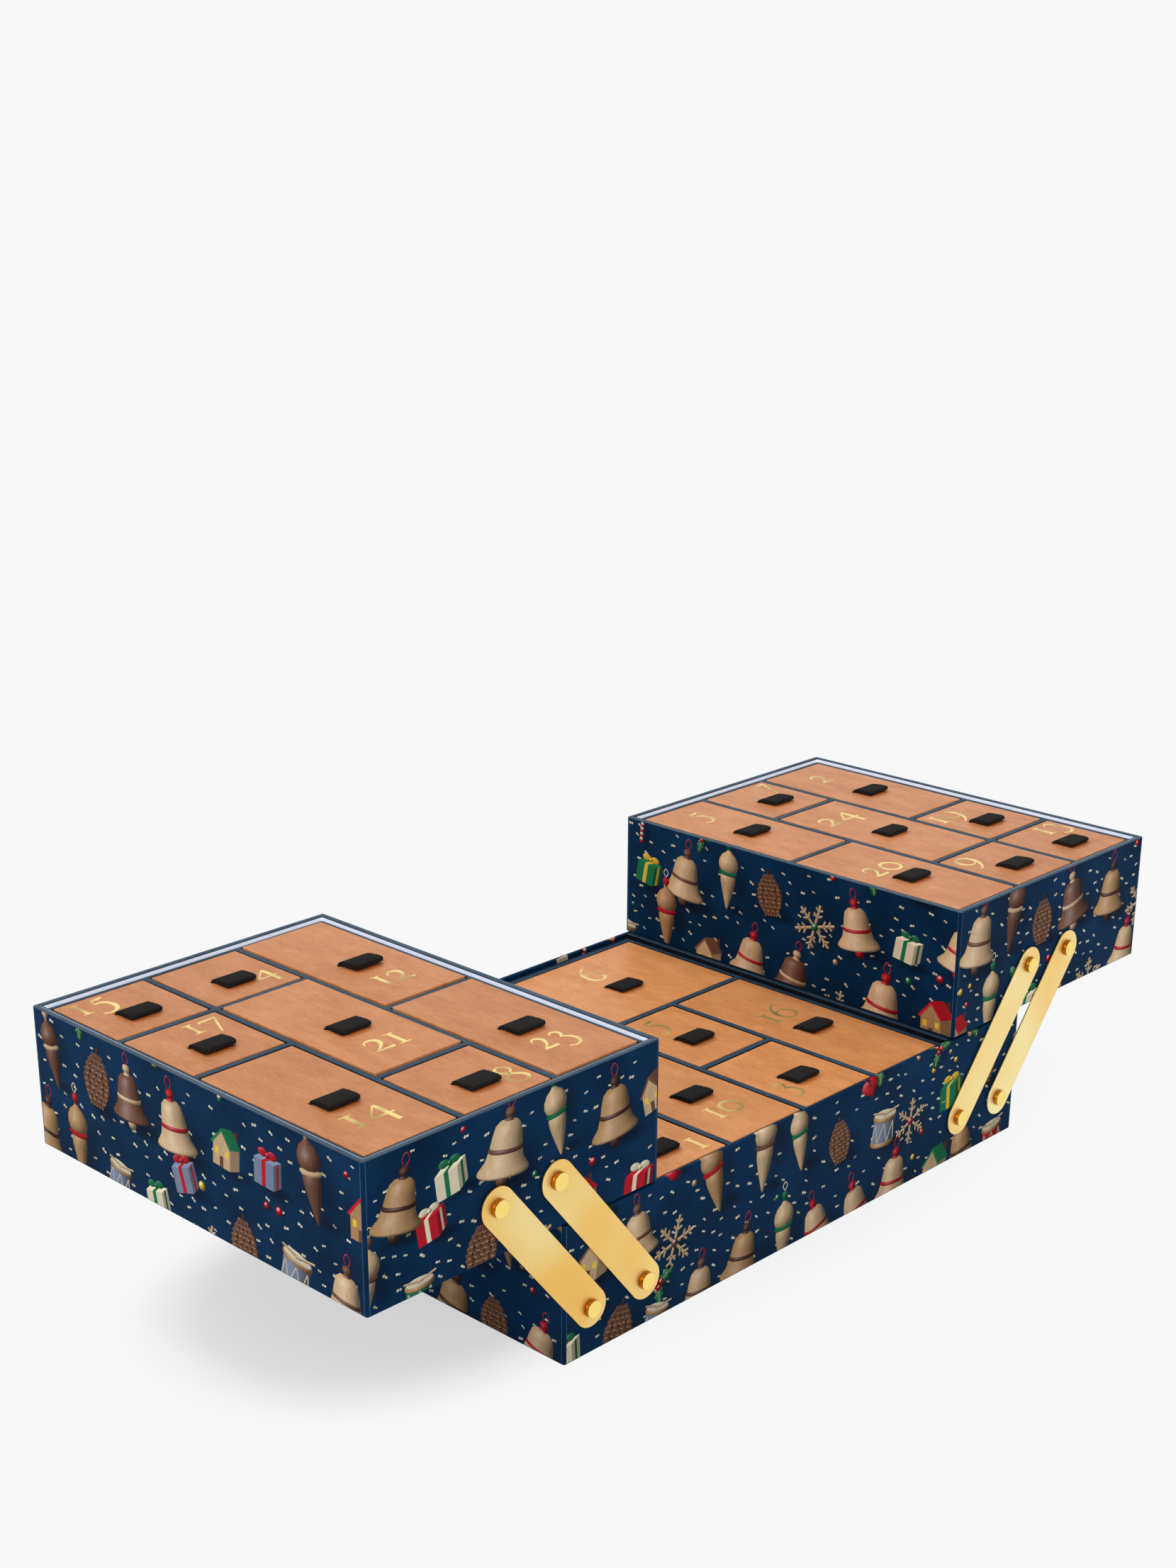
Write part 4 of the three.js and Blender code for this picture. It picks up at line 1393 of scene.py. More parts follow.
# Lids. Each is a thin board faced with pinkish veneer, its edges lightly rounded, with a slot in
# the middle for its pull tab. They lie loose on their seats, pushed a little to the front, and
# three of them stand a little proud.
LID_NUMBERS = range(1, 26)
BASE_LIDS = (1, 3, 6, 10, 11, 16, 18, 22, 25)
PROUD_LIDS = (12, 21, 23)
PROUD = 0.6 * MM
SETTLED = 0.25 * MM
PUSHED = (0.2 * MM, 0.55 * MM)
LID_THICKNESS = 3 * MM
LID_EDGE = 0.5 * MM
LID_TILT = 0.002
TAB_RISE = 3.1 * MM
SLOT_LENGTH = 20.8 * MM
SLOT_WIDTH = 2.4 * MM
# How far apart the lids are cut from the veneer, in metres, and how their tones vary.
VENEER_REACH = 0.5
VENEER_TONES = (0.95, 1.04)
VENEER_SEED = 100
TRAY_VENEER = (paint("be7744"), paint("dc935d"))
# The base's lids are the same wood painted lighter: painted light that makes up for the shade down in
# the base.
BASE_VENEER = (paint("d0864a"), paint("f0a366"))
# The edges are painted brighter and more orange than the faces: painted light on sides that face away
# from the lamp.
TRAY_EDGE_PAINTED_LIGHT = (paint("d78349"), paint("ffb680"))
BASE_EDGE_PAINTED_LIGHT = (paint("cc7a3a"), paint("f6a663"))
# The tab's painted shadow on the wood: its middle from the slot, and its half sizes.
TAB_SHADOW_WOOD = paint("a04a12")
TAB_SHADOW_MIDDLE = (0.0, -8.5 * MM)
TAB_SHADOW_HALVES = (12.5 * MM, 11.5 * MM)


def rubbed_patch(tree):
    """1 beside the pull tab, where its shadow is painted on the wood, and 0 a little way off."""
    counted = counted_from(tree, attribute(tree, "from_slot", "Vector"), TAB_SHADOW_MIDDLE, TAB_SHADOW_HALVES)
    across = add(tree, "ShaderNodeSeparateXYZ", {0: counted}).outputs
    # Fourth powers give the painted shadow square corners, as the tab has.
    powers = [math_node(tree, "POWER", math_node(tree, "ABSOLUTE", across[k]), 4.0) for k in (0, 1)]
    distance = math_node(tree, "POWER", math_node(tree, "ADD", *powers), 0.25)
    return remapped(tree, distance, 0.62, 1.0, 1.0, 0.0, interpolation_type="SMOOTHSTEP")


def veneer(name, dark, light):
    made, tree, shader = finish(name, Specular_IOR_Level=0.2)
    cut = attribute(tree, "cut", "Vector")
    sheet = add(tree, "ShaderNodeVectorMath", {0: object_place(tree), 1: cut}, operation="ADD")
    grain = place_group(tree, VENEER_GRAIN, Vector=sheet.outputs[0], Streak=0.0006)
    wood = mixed(tree, grain["Tone"], dark, light)
    pore_share = math_node(tree, "MULTIPLY", grain["Pores"], 0.25)
    pored = mixed(tree, pore_share, wood, dark)
    # The wood round the tab is mixed towards a darker orange: a painted shadow.
    tab_shadowed = mixed(tree, math_node(tree, "MULTIPLY", rubbed_patch(tree), 0.75), pored, TAB_SHADOW_WOOD)
    shade = add(tree, "ShaderNodeHueSaturation", {"Color": tab_shadowed, "Value": attribute(tree, "tone")})
    tree.links.new(shade.outputs[0], shader.inputs["Base Color"])
    rough = remapped(tree, grain["Tone"], 0.0, 1.0, 0.42, 0.32)
    tree.links.new(rough, shader.inputs["Roughness"])
    bumped(tree, shader, grain["Height"], 0.00005, 0.6)
    return made


def lid_name(number):
    return f"lid_{number:02}"


def lid_top_centre(number):
    """The middle of a lid's upper face."""
    low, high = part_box(lid_name(number))
    return Vector(((low.x + high.x) / 2, (low.y + high.y) / 2, high.z - TAB_RISE))


def as_it_lies(number):
    """The small drop or lift, push and tilt with which one lid lies on its seat."""
    chance = random.Random(number)
    centre = lid_top_centre(number)
    tilt = [chance.uniform(-LID_TILT, LID_TILT) for _ in range(2)]
    push = [-chance.uniform(*PUSHED) for _ in range(2)]
    lift = PROUD if number in PROUD_LIDS else -SETTLED
    turned = Matrix.Rotation(tilt[0], 4, "X") @ Matrix.Rotation(tilt[1], 4, "Y")
    moved = Matrix.Translation(centre + Vector((*push, lift)))
    return moved @ turned @ Matrix.Translation(-centre)


def lid_board(number, face_veneer, edge_veneer):
    """One lid's board with its slot."""
    low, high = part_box(lid_name(number))
    centre = lid_top_centre(number)
    shape = bmesh.new()
    across = (low.x, centre.x - SLOT_LENGTH / 2, centre.x + SLOT_LENGTH / 2, high.x)
    along = (low.y, centre.y - SLOT_WIDTH / 2, centre.y + SLOT_WIDTH / 2, high.y)
    grid = [[shape.verts.new((x, y, centre.z)) for x in across] for y in along]
    for row in range(3):
        for column in range(3):
            if row != 1 or column != 1:
                near, far = grid[row], grid[row + 1]
                shape.faces.new((near[column], near[column + 1], far[column + 1], far[column]))
    lowered = bmesh.ops.extrude_face_region(shape, geom=shape.faces[:])["geom"]
    moved = [part for part in lowered if isinstance(part, bmesh.types.BMVert)]
    bmesh.ops.translate(shape, verts=moved, vec=(0, 0, -LID_THICKNESS))
    bmesh.ops.recalc_face_normals(shape, faces=shape.faces)
    mesh = bpy.data.meshes.new(lid_name(number) + "_board")
    shape.to_mesh(mesh)
    shape.free()
    made = bevelled(new_object(mesh.name, mesh, face_veneer, edge_veneer), LID_EDGE)
    for face in made.data.polygons:
        face.material_index = 0 if abs(face.normal.z) > FLAT_FROM else 1
    chance = random.Random(VENEER_SEED + number)
    cut = [chance.uniform(-VENEER_REACH, VENEER_REACH) for _ in range(3)]
    tone = chance.uniform(*VENEER_TONES)
    count = len(made.data.vertices)
    from_slot = [reach for point in made.data.vertices for reach in point.co - centre]
    note(made, "from_slot", "FLOAT_VECTOR", from_slot)
    note(made, "cut", "FLOAT_VECTOR", cut * count)
    note(made, "tone", "FLOAT", [tone] * count)
    made.data.transform(as_it_lies(number))
    return made


VENEERS = {
    False: (veneer("tray_veneer", *TRAY_VENEER), veneer("tray_veneer_edge", *TRAY_EDGE_PAINTED_LIGHT)),
    True: (veneer("base_veneer", *BASE_VENEER), veneer("base_veneer_edge", *BASE_EDGE_PAINTED_LIGHT)),
}
for number in LID_NUMBERS:
    board = lid_board(number, *VENEERS[number in BASE_LIDS])
    fitted(board, lid_name(number), "veneer_lid", lid_name(number))

# Pull tabs. A short length of black ribbed elastic is folded into a flat loop, and both its ends
# go through the lid's slot and are glued below. The ribs run across the fold.
TAB_WIDTH = 20 * MM
RIB_PITCH = 1.1 * MM
RIB_RADIUS = 0.7 * MM
RIB_SIDES = 8
RIB_FRAY = 0.95
RIB_WAVE = 0.25 * MM
RIB_JOINTS = 12
WAVES_PER_METRE = 110.0
# The loop seen from the side: the distance in front of the slot and the height above the lid.
TAB_LOOP = (
    (0.0, -2.6),
    (0.0, -0.3),
    (0.5, 0.9),
    (2.4, 1.7),
    (6.0, 2.15),
    (10.0, 2.35),
    (12.8, 2.3),
    (13.7, 1.6),
    (12.8, 0.95),
    (9.0, 0.8),
    (4.0, 0.8),
    (1.6, 0.6),
    (1.0, -0.5),
    (1.0, -2.6),
)
TAB_LOOP_STEPS = 4
TAB_TURN = math.radians(3)
TAB_SKEW = 0.09
TAB_RISES = (0.9, 1.1)
TAB_SEED = 200
HIGH_TAB = 12
HIGH_TAB_RISE = 1.3


def ribbon_tree():
    """Ribs laid side by side along the loose edges of a mesh, round its solid core."""
    inputs = [("Width", "NodeSocketFloat"), ("Pitch", "NodeSocketFloat")]
    inputs += [("Radius", "NodeSocketFloat"), ("Wave", "NodeSocketFloat")]
    inputs += [("Seed", "NodeSocketFloat"), ("Ribbon", "NodeSocketMaterial")]
    tree, given, result = node_tree("ribbon_ribs", inputs)
    beside = add(tree, "GeometryNodeInputMeshEdgeNeighbors").outputs[0]
    loose = add(tree, "FunctionNodeCompare", data_type="INT", operation="EQUAL")
    tree.links.new(beside, loose.inputs[2])
    parts = {"Geometry": given["Geometry"], "Selection": loose.outputs[0]}
    apart = add(tree, "GeometryNodeSeparateGeometry", parts, domain="EDGE").outputs
    path = add(tree, "GeometryNodeMeshToCurve", {"Mesh": apart["Selection"]}).outputs[0]
    paced = {"Curve": path, "Length": given["Pitch"]}
    spaced = add(tree, "GeometryNodeResampleCurve", paced, mode="LENGTH")
    ends = []
    for share in (-0.5, 0.5):
        reach = math_node(tree, "MULTIPLY", given["Width"], share)
        ends.append(add(tree, "ShaderNodeCombineXYZ", {"X": reach}).outputs[0])
    line = add(tree, "GeometryNodeCurvePrimitiveLine", {"Start": ends[0], "End": ends[1]})
    jointed = {"Curve": line.outputs[0], "Count": RIB_JOINTS}
    joints = add(tree, "GeometryNodeResampleCurve", jointed)
    circle = add(tree, "GeometryNodeCurvePrimitiveCircle", {"Resolution": RIB_SIDES})
    tree.links.new(given["Radius"], circle.inputs["Radius"])
    tube = {"Curve": joints.outputs[0], "Profile Curve": circle.outputs[0], "Fill Caps": True}
    rib = add(tree, "GeometryNodeCurveToMesh", tube).outputs[0]
    frayed = add(tree, "FunctionNodeRandomValue", data_type="FLOAT_VECTOR")
    frayed.inputs[0].default_value = (RIB_FRAY, 1, 1)
    frayed.inputs[1].default_value = (1, 1, 1)
    spread = {"Points": spaced.outputs[0], "Instance": rib, "Scale": frayed.outputs[0]}
    placed = add(tree, "GeometryNodeInstanceOnPoints", spread).outputs[0]
    real = add(tree, "GeometryNodeRealizeInstances", {"Geometry": placed}).outputs[0]
    joined = add(tree, "GeometryNodeJoinGeometry")
    tree.links.new(apart["Inverted"], joined.inputs[0])
    tree.links.new(real, joined.inputs[0])
    seeded = {"W": given["Seed"], "Scale": WAVES_PER_METRE}
    cloud = add(tree, "ShaderNodeTexNoise", seeded, noise_dimensions="4D")
    centred = {0: cloud.outputs["Color"], 1: (0.5, 0.5, 0.5)}
    swing = add(tree, "ShaderNodeVectorMath", centred, operation="SUBTRACT").outputs[0]
    shift = add(tree, "ShaderNodeVectorMath", {0: swing}, operation="SCALE")
    tree.links.new(given["Wave"], shift.inputs["Scale"])
    moved = {"Geometry": joined.outputs[0], "Offset": shift.outputs[0]}
    waved = add(tree, "GeometryNodeSetPosition", moved).outputs[0]
    dressed = add(tree, "GeometryNodeSetMaterial", {"Geometry": waved, "Material": given["Ribbon"]})
    tree.links.new(dressed.outputs[0], result["Geometry"])
    return tree


def elastic_ribbon():
    made, tree, shader = finish("black_elastic", Roughness=0.9, Specular_IOR_Level=0.15)
    place = object_place(tree)
    sockets = {"Vector": place, "Scale": 420.0, "Distortion": 2.0, "Detail": 1.0}
    stitch = add(tree, "ShaderNodeTexWave", sockets, bands_direction="DIAGONAL").outputs["Fac"]
    fuzz = noise(tree, place, 2600.0, 2.0)
    both = math_node(tree, "MULTIPLY_ADD", fuzz, 0.6, stitch)
    tree.links.new(mixed(tree, both, paint("060606"), paint("2b2927")), shader.inputs["Base Color"])
    bumped(tree, shader, both, 0.00012, 0.8)
    return made


def tab_blank(number):
    """A tab's solid core and the path that its ribs follow, in its lid's place."""
    chance = random.Random(TAB_SEED + number)
    rise = HIGH_TAB_RISE if number == HIGH_TAB else chance.uniform(*TAB_RISES)
    loop = smooth_path(TAB_LOOP, TAB_LOOP_STEPS)
    centre = lid_top_centre(number)
    points, faces = [], []
    for x in (-TAB_WIDTH / 2 + RIB_RADIUS / 2, TAB_WIDTH / 2 - RIB_RADIUS / 2):
        points += [(x, -u * MM, v * MM) for u, v in loop]
    count = len(loop)
    for i in range(count):
        j = (i + 1) % count
        faces.append((i, j, count + j, count + i))
    faces.append(tuple(reversed(range(count))))
    faces.append(tuple(range(count, 2 * count)))
    points += [(0, -u * MM, v * MM) for u, v in loop]
    edges = [(i, i + 1) for i in range(2 * count, 3 * count - 1)]
    made = modelled(lid_name(number) + "_tab", points, faces, edges=edges)
    skew = chance.uniform(0, TAB_SKEW)
    for point in made.data.vertices:
        if point.co.z > 0:
            point.co.z *= rise
        point.co.x -= skew * point.co.y
    turn = Matrix.Rotation(chance.uniform(-TAB_TURN, TAB_TURN), 4, "Z")
    made.data.transform(as_it_lies(number) @ Matrix.Translation(centre) @ turn)
    return made


RIBBON_TREE = ribbon_tree()
BLACK_ELASTIC = elastic_ribbon()
for number in LID_NUMBERS:
    tab = tab_blank(number)
    sizes = {"Width": TAB_WIDTH, "Pitch": RIB_PITCH, "Radius": RIB_RADIUS, "Wave": RIB_WAVE}
    grown(tab, RIBBON_TREE, Seed=float(number), Ribbon=BLACK_ELASTIC, **sizes)
    fitted(tab, lid_name(number), "black_ribbon")

# Numbers. Each lid is stamped with its number in gold foil, in figures that rise and fall. A
# figure is drawn by pen strokes in millimetres, as points with the stroke's width there.
FOIL_PROUD = 0.05 * MM
FOIL_SUNK = 0.02 * MM
# Each stroke stands a share higher than the one before, where the two cross.
STROKE_RISE = 0.15
STROKE_STEPS = 5
PEN = 1.12
FIGURE_GAP = 2.4
# Bright and dull gold, mixed in soft patches over the numbers as painted reflection.
FOIL_BRIGHT = paint("f6dc8c")
FOIL_DULL = paint("b99c58")
SIX = (
    (11.4, 21.9, 0.5),
    (8.2, 20.4, 1.0),
    (4.4, 16.4, 1.8),
    (1.8, 10.6, 2.3),
    (1.5, 5.0, 2.3),
    (3.4, 1.2, 1.7),
    (6.8, -0.1, 1.1),
    (10.4, 1.2, 1.7),
    (12.4, 5.0, 2.3),
    (11.8, 9.4, 2.1),
    (9.2, 12.2, 1.4),
    (6.2, 12.6, 1.0),
    (2.6, 10.2, 0.7),
)
EIGHT = (
    (11.0, 17.2, 1.6),
    (8.4, 20.6, 1.2),
    (5.0, 20.6, 1.3),
    (2.7, 17.6, 1.9),
    (3.6, 14.0, 2.2),
    (7.4, 10.8, 2.3),
    (11.2, 7.4, 2.4),
    (12.2, 3.8, 2.1),
    (9.8, 0.7, 1.4),
    (6.2, 0.0, 1.1),
    (2.4, 1.5, 1.4),
    (1.0, 4.8, 1.5),
    (2.4, 8.2, 1.3),
    (6.2, 11.4, 1.1),
    (9.8, 14.2, 1.3),
    (11.0, 17.2, 1.6),
)
RING_TURNS = [math.radians(20 * k) for k in range(19)]
RING = [(7 + 6.3 * math.cos(turn), 7.4 + 6.7 * math.sin(turn)) for turn in RING_TURNS]
FIGURES = {
    "0": [[(x, y, 1.45 + 0.55 * math.cos(0.05 * x)) for x, y in RING]],
    "1": [
        [(3.6, 0.2, 2.2), (3.6, 7.0, 2.1), (3.6, 14.7, 2.2)],
        [(0.0, 0.4, 0.4), (3.6, 0.7, 1.3), (7.2, 0.4, 0.4)],
        [(0.0, 14.7, 0.4), (3.4, 14.4, 1.2), (6.8, 14.9, 0.4)],
    ],
    "2": [
        [(0.9, 10.6, 0.6), (2.2, 13.5, 1.0), (5.2, 14.8, 1.7), (8.2, 13.5, 2.3), (9.2, 10.8, 2.4)]
        + [(8.2, 7.6, 1.9), (5.0, 4.0, 1.3), (1.0, 0.9, 0.8)],
        [(0.5, 0.9, 1.5), (6.0, 0.95, 1.9), (10.8, 1.1, 1.8), (11.7, 2.2, 0.4)],
    ],
    "3": [
        [(1.2, 12.2, 0.6), (3.0, 14.2, 1.0), (5.8, 14.6, 1.7), (8.3, 12.6, 2.2), (7.8, 9.5, 1.9)]
        + [(4.8, 7.2, 0.8)],
        [(4.4, 7.3, 0.7), (8.0, 6.2, 1.7), (10.8, 2.6, 2.4), (10.8, -1.6, 2.4), (8.0, -5.1, 1.8)]
        + [(4.0, -6.2, 1.2), (1.2, -5.3, 1.1), (0.1, -4.2, 1.7)],
    ],
    "4": [
        [(9.5, 15.4, 0.8), (4.7, 9.2, 1.0), (0.4, 3.6, 1.0)],
        [(0.1, 3.3, 1.4), (7.0, 3.2, 1.6), (13.0, 3.6, 1.2)],
        [(9.7, 15.4, 0.8), (9.6, 12.0, 2.2), (9.6, 4.0, 2.3), (9.6, -4.6, 2.3), (9.6, -5.7, 3.4)],
    ],
    "5": [
        [(4.1, 14.0, 1.6), (8.0, 14.2, 2.0), (11.8, 15.2, 1.3)],
        [(4.4, 14.6, 1.0), (3.7, 11.4, 0.8), (3.1, 8.4, 0.8)],
        [(3.0, 8.2, 0.8), (5.8, 9.0, 1.4), (9.2, 7.4, 2.2), (11.0, 3.4, 2.5), (10.4, -1.6, 2.4)]
        + [(7.6, -5.0, 1.8), (3.6, -6.3, 1.3), (0.9, -5.6, 1.2), (0.1, -4.6, 1.8)],
    ],
    "6": [list(SIX)],
    "7": [
        [(0.2, 13.0, 1.7), (6.0, 13.4, 2.0), (12.6, 14.1, 1.4)],
        [(0.6, 13.4, 1.0), (0.2, 11.2, 0.5)],
        [(12.5, 14.4, 1.1), (8.4, 5.0, 1.3), (3.7, -6.9, 1.0)],
    ],
    "8": [list(EIGHT)],
    "9": [[(13 - x, 15 - y, width) for x, y, width in SIX]],
}
# Each number's middle, from its lid's middle, and its width and height, in millimetres.
NUMBER_PLACES = {
    1: (19.8, -16.7, 7.5, 14),
    2: (0, 35.4, 12.4, 16),
    3: (-17.9, -15.1, 11.75, 21),
    4: (17, -13.8, 12.8, 17.6),
    5: (0, 36, 12.6, 21.6),
    6: (-0.75, 21.8, 15, 23),
    7: (18.8, 14.6, 13.4, 22),
    8: (18.8, -11.8, 13.4, 21.4),
    9: (-16.6, 13.8, 15, 22),
    10: (0.6, -31.5, 25, 15),
    11: (0, -31, 18, 15),
    12: (0, -34, 22, 15.4),
    13: (15.4, 15, 23, 21.4),
    14: (0.6, -32.8, 26, 21),
    15: (-12, 14.2, 22, 23),
    16: (0.4, 22.6, 25, 22.5),
    17: (13.8, 14.4, 21.4, 19.4),
    18: (0, -33, 23, 21),
    19: (-11.8, 13.6, 26, 22),
    20: (0, 15, 29.4, 16),
    21: (0.8, -34.6, 23, 15.6),
    22: (0, -31, 24, 15),
    23: (0, -32.4, 23.4, 21.4),
    24: (-2, 31, 31.8, 20.4),
    25: (-10.4, 19.6, 25.5, 22),
}


def stroke_sides(stroke):
    """The left and right sides of a pen stroke."""
    path = smooth_path(stroke, STROKE_STEPS)
    left, right = [], []
    for k, point in enumerate(path):
        way = path[min(k + 1, len(path) - 1)] - path[max(k - 1, 0)]
        side = Vector((-way.y, way.x, 0)).normalized() * point.z * PEN / 2
        left.append((point.x + side.x, point.y + side.y))
        right.append((point.x - side.x, point.y - side.y))
    return left, right


def drawn_number(number):
    """A number's strokes, figure by figure, from the left."""
    strokes, across = [], 0.0
    for figure in str(number):
        sides = [stroke_sides(stroke) for stroke in FIGURES[figure]]
        low = min(x for pair in sides for row in pair for x, y in row)
        high = max(x for pair in sides for row in pair for x, y in row)
        for left, right in sides:
            moved = [[(x - low + across, y) for x, y in row] for row in (left, right)]
            strokes.append(moved)
        across += high - low + FIGURE_GAP
    return strokes


def foil_number(number):
    """One lid's number as closed foil, scaled to its place."""
    strokes = drawn_number(number)
    every = [point for sides in strokes for row in sides for point in row]
    low = [min(point[k] for point in every) for k in range(2)]
    high = [max(point[k] for point in every) for k in range(2)]
    x, y, wide, tall = NUMBER_PLACES[number]
    scale = (wide / (high[0] - low[0]), tall / (high[1] - low[1]))
    centre = lid_top_centre(number)
    points, faces = [], []
    for step, (left, right) in enumerate(strokes):
        first, count = len(points), len(left)
        top = FOIL_PROUD * (1 + STROKE_RISE * step)
        for row, z in ((left, top), (right, top), (left, -FOIL_SUNK), (right, -FOIL_SUNK)):
            for point in row:
                place = [(point[k] - (low[k] + high[k]) / 2) * scale[k] * MM for k in range(2)]
                across, along = centre.x + x * MM + place[0], centre.y + y * MM + place[1]
                points.append((across, along, centre.z + z))
        for i in range(count - 1):
            a, b, c, d = (first + k * count + i for k in range(4))
            faces += [(b, b + 1, a + 1, a), (c, c + 1, d + 1, d)]
            faces += [(a, a + 1, c + 1, c), (d, d + 1, b + 1, b)]
        for i, way in ((0, 1), (count - 1, -1)):
            a, b, c, d = (first + k * count + i for k in range(4))
            faces.append((a, c, d, b)[::way])
    made = modelled(lid_name(number) + "_number", points, faces, GOLD_FOIL)
    made.data.transform(as_it_lies(number))
    return made


def gold_foil():
    made, tree, shader = finish("gold_foil", Metallic=0.85, Roughness=0.36)
    place = object_place(tree)
    # The soft patches of bright and dull gold are painted reflection; the fine crinkle is the foil's
    # own.
    cloud = noise(tree, place, 55.0, 1.0)
    crinkle = noise(tree, place, 1800.0, 2.0)
    tone = math_node(tree, "MULTIPLY_ADD", crinkle, 0.05, cloud)
    share = remapped(tree, tone, 0.36, 0.54, 0.0, 1.0)
    tree.links.new(mixed(tree, share, FOIL_DULL, FOIL_BRIGHT), shader.inputs["Base Color"])
    bumped(tree, shader, crinkle, 0.00002, 0.4)
    return made


GOLD_FOIL = gold_foil()
for number in LID_NUMBERS:
    fitted(foil_number(number), lid_name(number), "gold_foil")

# Arms. Each is a flat strip of satin gold metal with round ends, and turns on a rivet at each end.
ARM_WIDTH = 22 * MM
ARM_EDGE = 0.3 * MM
ARM_END_STEPS = 28
# Pale and deep gold, mixed in broad soft patches as painted reflection; the fine specks are its grain.
SATIN_GOLD = paint("fff0b2")
SATIN_GOLD_DEEP = paint("fccb6c")


def satin_gold():
    made, tree, shader = finish("satin_gold", Metallic=1.0, Roughness=0.42)
    place = object_place(tree)
    # Broad patches of pale and deep gold: painted reflection.
    cloud = noise(tree, place, 14.0, 1.0)
    speck = noise(tree, place, 1500.0, 2.0)
    tone = math_node(tree, "MULTIPLY_ADD", speck, 0.35, cloud)
    share = remapped(tree, tone, 0.5, 0.85, 0.0, 1.0)
    gold = mixed(tree, share, SATIN_GOLD_DEEP, SATIN_GOLD)
    tree.links.new(gold, shader.inputs["Base Color"])
    tree.links.new(remapped(tree, speck, 0.3, 0.7, 0.36, 0.5), shader.inputs["Roughness"])
    bumped(tree, shader, speck, 0.00002, 0.4)
    return made


def arm_ring(start, end, radius, y):
    """A strip's outline with half circles round its two pivots."""
    lean = math.atan2(end.z - start.z, end.x - start.x)
    points = []
    for pivot, first in ((end, lean - math.pi / 2), (start, lean + math.pi / 2)):
        for i in range(ARM_END_STEPS + 1):
            turn = first + math.pi * i / ARM_END_STEPS
            x = pivot.x + radius * math.cos(turn)
            points.append((x, y, pivot.z + radius * math.sin(turn)))
    return points


def middle(node):
    low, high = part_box(node)
    return (low + high) / 2


SATIN_METAL = satin_gold()
ARM_NAMES = [
    f"{side}_{face}_{place}"
    for side in ("left", "right")
    for face in ("front", "back")
    for place in ("outer", "inner")
]
for name in ARM_NAMES:
    low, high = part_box(name + "_arm")
    pivots = (middle(name + "_base_rivet"), middle(name + "_tray_rivet"))
    section = [(ARM_EDGE, low.y), (ARM_EDGE / 3, low.y + ARM_EDGE / 3), (0, low.y + ARM_EDGE)]
    section += [(0, high.y - ARM_EDGE), (ARM_EDGE / 3, high.y - ARM_EDGE / 3), (ARM_EDGE, high.y)]
    rings = [arm_ring(*pivots, ARM_WIDTH / 2 - inset, y) for inset, y in section]
    strip = swept_rings(name + "_arm_strip", rings, [0] * len(rings), SATIN_METAL)
    fitted(strip, name + "_arm", "satin_gold", name + "_arm")

# Rivets. Polished gold rivets pin the arms to the boxes. Each has a thick flat head outside, a
# shank through arm and wall, and a clinched end inside. The head's round side is painted in dark
# and deep orange gold, a painted reflection, and its flat face in bright gold.
RIVET_TURNS = 40
RIVET_SHANK = 2.5 * MM
RIVET_CLINCH = (4.5 * MM, 1.0 * MM)
# The head from its seat on the arm to its middle, as radius and height.
RIVET_HEAD = (
    (2.5, 0.0),
    (5.0, 0.0),
    (5.0, 0.25),
    (4.82, 0.6),
    (4.78, 1.7),
    (4.86, 1.95),
    (4.8, 2.2),
    (4.62, 2.36),
    (4.4, 2.4),
    (4.2, 2.34),
    (3.9, 2.3),
)
HEAD_HEIGHT = 2.4 * MM
# How little a face has to look up or down to count as a rivet's side.
SIDE_UNDER = 0.7
POLISHED = (paint("ffd45a"), paint("fff0a0"))
# The side's dark and orange golds are a painted reflection.
SIDE_REFLECTION_GOLDS = (paint("6e3a05"), paint("e39a24"))


def polished_gold(name, low, high):
    made, tree, shader = finish(name, Metallic=1.0, Roughness=0.14)
    haze = noise(tree, object_place(tree), 260.0, 3.0)
    tree.links.new(mixed(tree, haze, low, high), shader.inputs["Base Color"])
    tree.links.new(remapped(tree, haze, 0.3, 0.7, 0.1, 0.2), shader.inputs["Roughness"])
    bumped(tree, shader, haze, 0.00002, 0.3)
    return made


def rivet_pattern(length):
    """One rivet turned about Z, its head up and its seat at the origin."""
    below = HEAD_HEIGHT - length
    clinch, clinch_height = RIVET_CLINCH
    profile = [(0, below), (clinch, below), (clinch, below + clinch_height)]
    profile += [(RIVET_SHANK, below + clinch_height)]
    profile += [(radius * MM, height * MM) for radius, height in RIVET_HEAD]
    profile.append((0, profile[-1][1]))
    shape = bmesh.new()
    line = [shape.verts.new((radius, 0, z)) for radius, z in profile]
    edges = [shape.edges.new(pair) for pair in zip(line, line[1:])]
    bmesh.ops.spin(
        shape,
        geom=line + edges,
        cent=(0, 0, 0),
        axis=(0, 0, 1),
        angle=2 * math.pi,
        steps=RIVET_TURNS,
    )
    bmesh.ops.remove_doubles(shape, verts=shape.verts, dist=WELD / 10)
    bmesh.ops.recalc_face_normals(shape, faces=shape.faces)
    mesh = bpy.data.meshes.new("rivet_pattern")
    shape.to_mesh(mesh)
    shape.free()
    made = evened(new_object("rivet_pattern", mesh))
    sides = [abs(face.normal.z) < SIDE_UNDER for face in made.data.polygons]
    note(made, "round_side", "BOOLEAN", sides, "FACE")
    return made


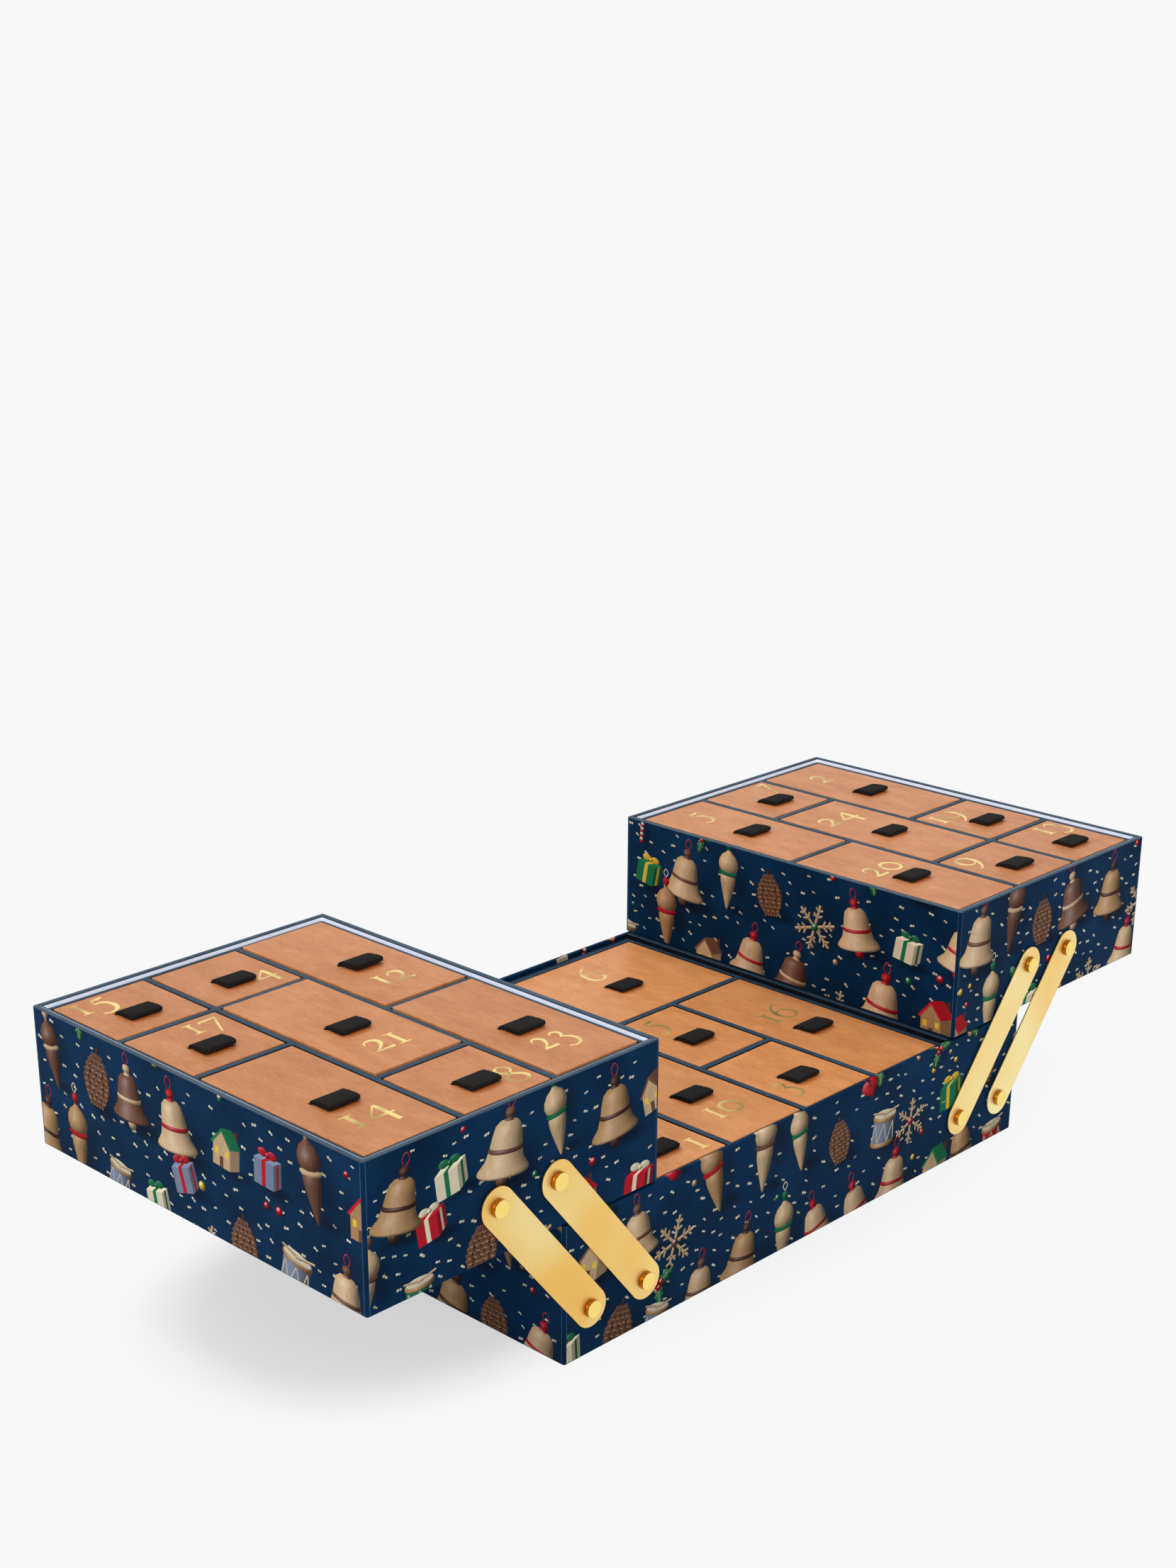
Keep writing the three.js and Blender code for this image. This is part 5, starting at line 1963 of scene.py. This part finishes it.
def rivet_tree():
    """A rivet at each point, turned as the point's own attribute says."""
    inputs = [("Rivet", "NodeSocketObject"), ("Flat", "NodeSocketMaterial")]
    inputs.append(("Side", "NodeSocketMaterial"))
    tree, given, result = node_tree("rivets", inputs)
    pattern = add(tree, "GeometryNodeObjectInfo", {"Object": given["Rivet"]})
    facing = add(tree, "GeometryNodeInputNamedAttribute", {"Name": "facing"}, data_type="FLOAT_VECTOR")
    cloud = add(tree, "GeometryNodeMeshToPoints", {"Mesh": given["Geometry"]})
    spread = {"Points": cloud.outputs[0], "Instance": pattern.outputs["Geometry"]}
    placed = add(tree, "GeometryNodeInstanceOnPoints", spread)
    tree.links.new(facing.outputs[0], placed.inputs["Rotation"])
    real = add(tree, "GeometryNodeRealizeInstances", {"Geometry": placed.outputs[0]}).outputs[0]
    flat = add(tree, "GeometryNodeSetMaterial", {"Geometry": real, "Material": given["Flat"]})
    side = add(tree, "GeometryNodeInputNamedAttribute", {"Name": "round_side"}, data_type="BOOLEAN")
    parts = {"Geometry": flat.outputs[0], "Selection": side.outputs[0], "Material": given["Side"]}
    dressed = add(tree, "GeometryNodeSetMaterial", parts)
    tree.links.new(dressed.outputs[0], result["Geometry"])
    return tree


def rivet_row(body, nodes):
    """All the rivets of one body as one piece."""
    seats, facings = [], []
    for node in nodes:
        low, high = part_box(node)
        front = middle(node).y < 0
        seat = low.y + HEAD_HEIGHT if front else high.y - HEAD_HEIGHT
        seats.append((middle(node).x, seat, middle(node).z))
        facings += (math.pi / 2 if front else -math.pi / 2, 0, 0)
    made = modelled(body + "_rivets", seats, [])
    note(made, "facing", "FLOAT_VECTOR", facings)
    grown(made, RIVET_TREE, Rivet=RIVET, Flat=POLISHED_FACE, Side=REFLECTING_SIDE_GOLD)
    fitted(made, body, "polished_gold", *nodes)


POLISHED_FACE = polished_gold("polished_gold_face", *POLISHED)
REFLECTING_SIDE_GOLD = polished_gold("polished_gold_side", *SIDE_REFLECTION_GOLDS)
RIVET_TREE = rivet_tree()
first_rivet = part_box(ARM_NAMES[0] + "_base_rivet")
RIVET = rivet_pattern(first_rivet[1].y - first_rivet[0].y)
rivet_row("base", [name + "_base_rivet" for name in ARM_NAMES])
for side in ("left", "right"):
    nodes = [name + "_tray_rivet" for name in ARM_NAMES if name.startswith(side)]
    rivet_row(side + "_tray", nodes)
bpy.data.objects.remove(RIVET)

sizes = {"cad": cad_bounds, "visual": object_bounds()}
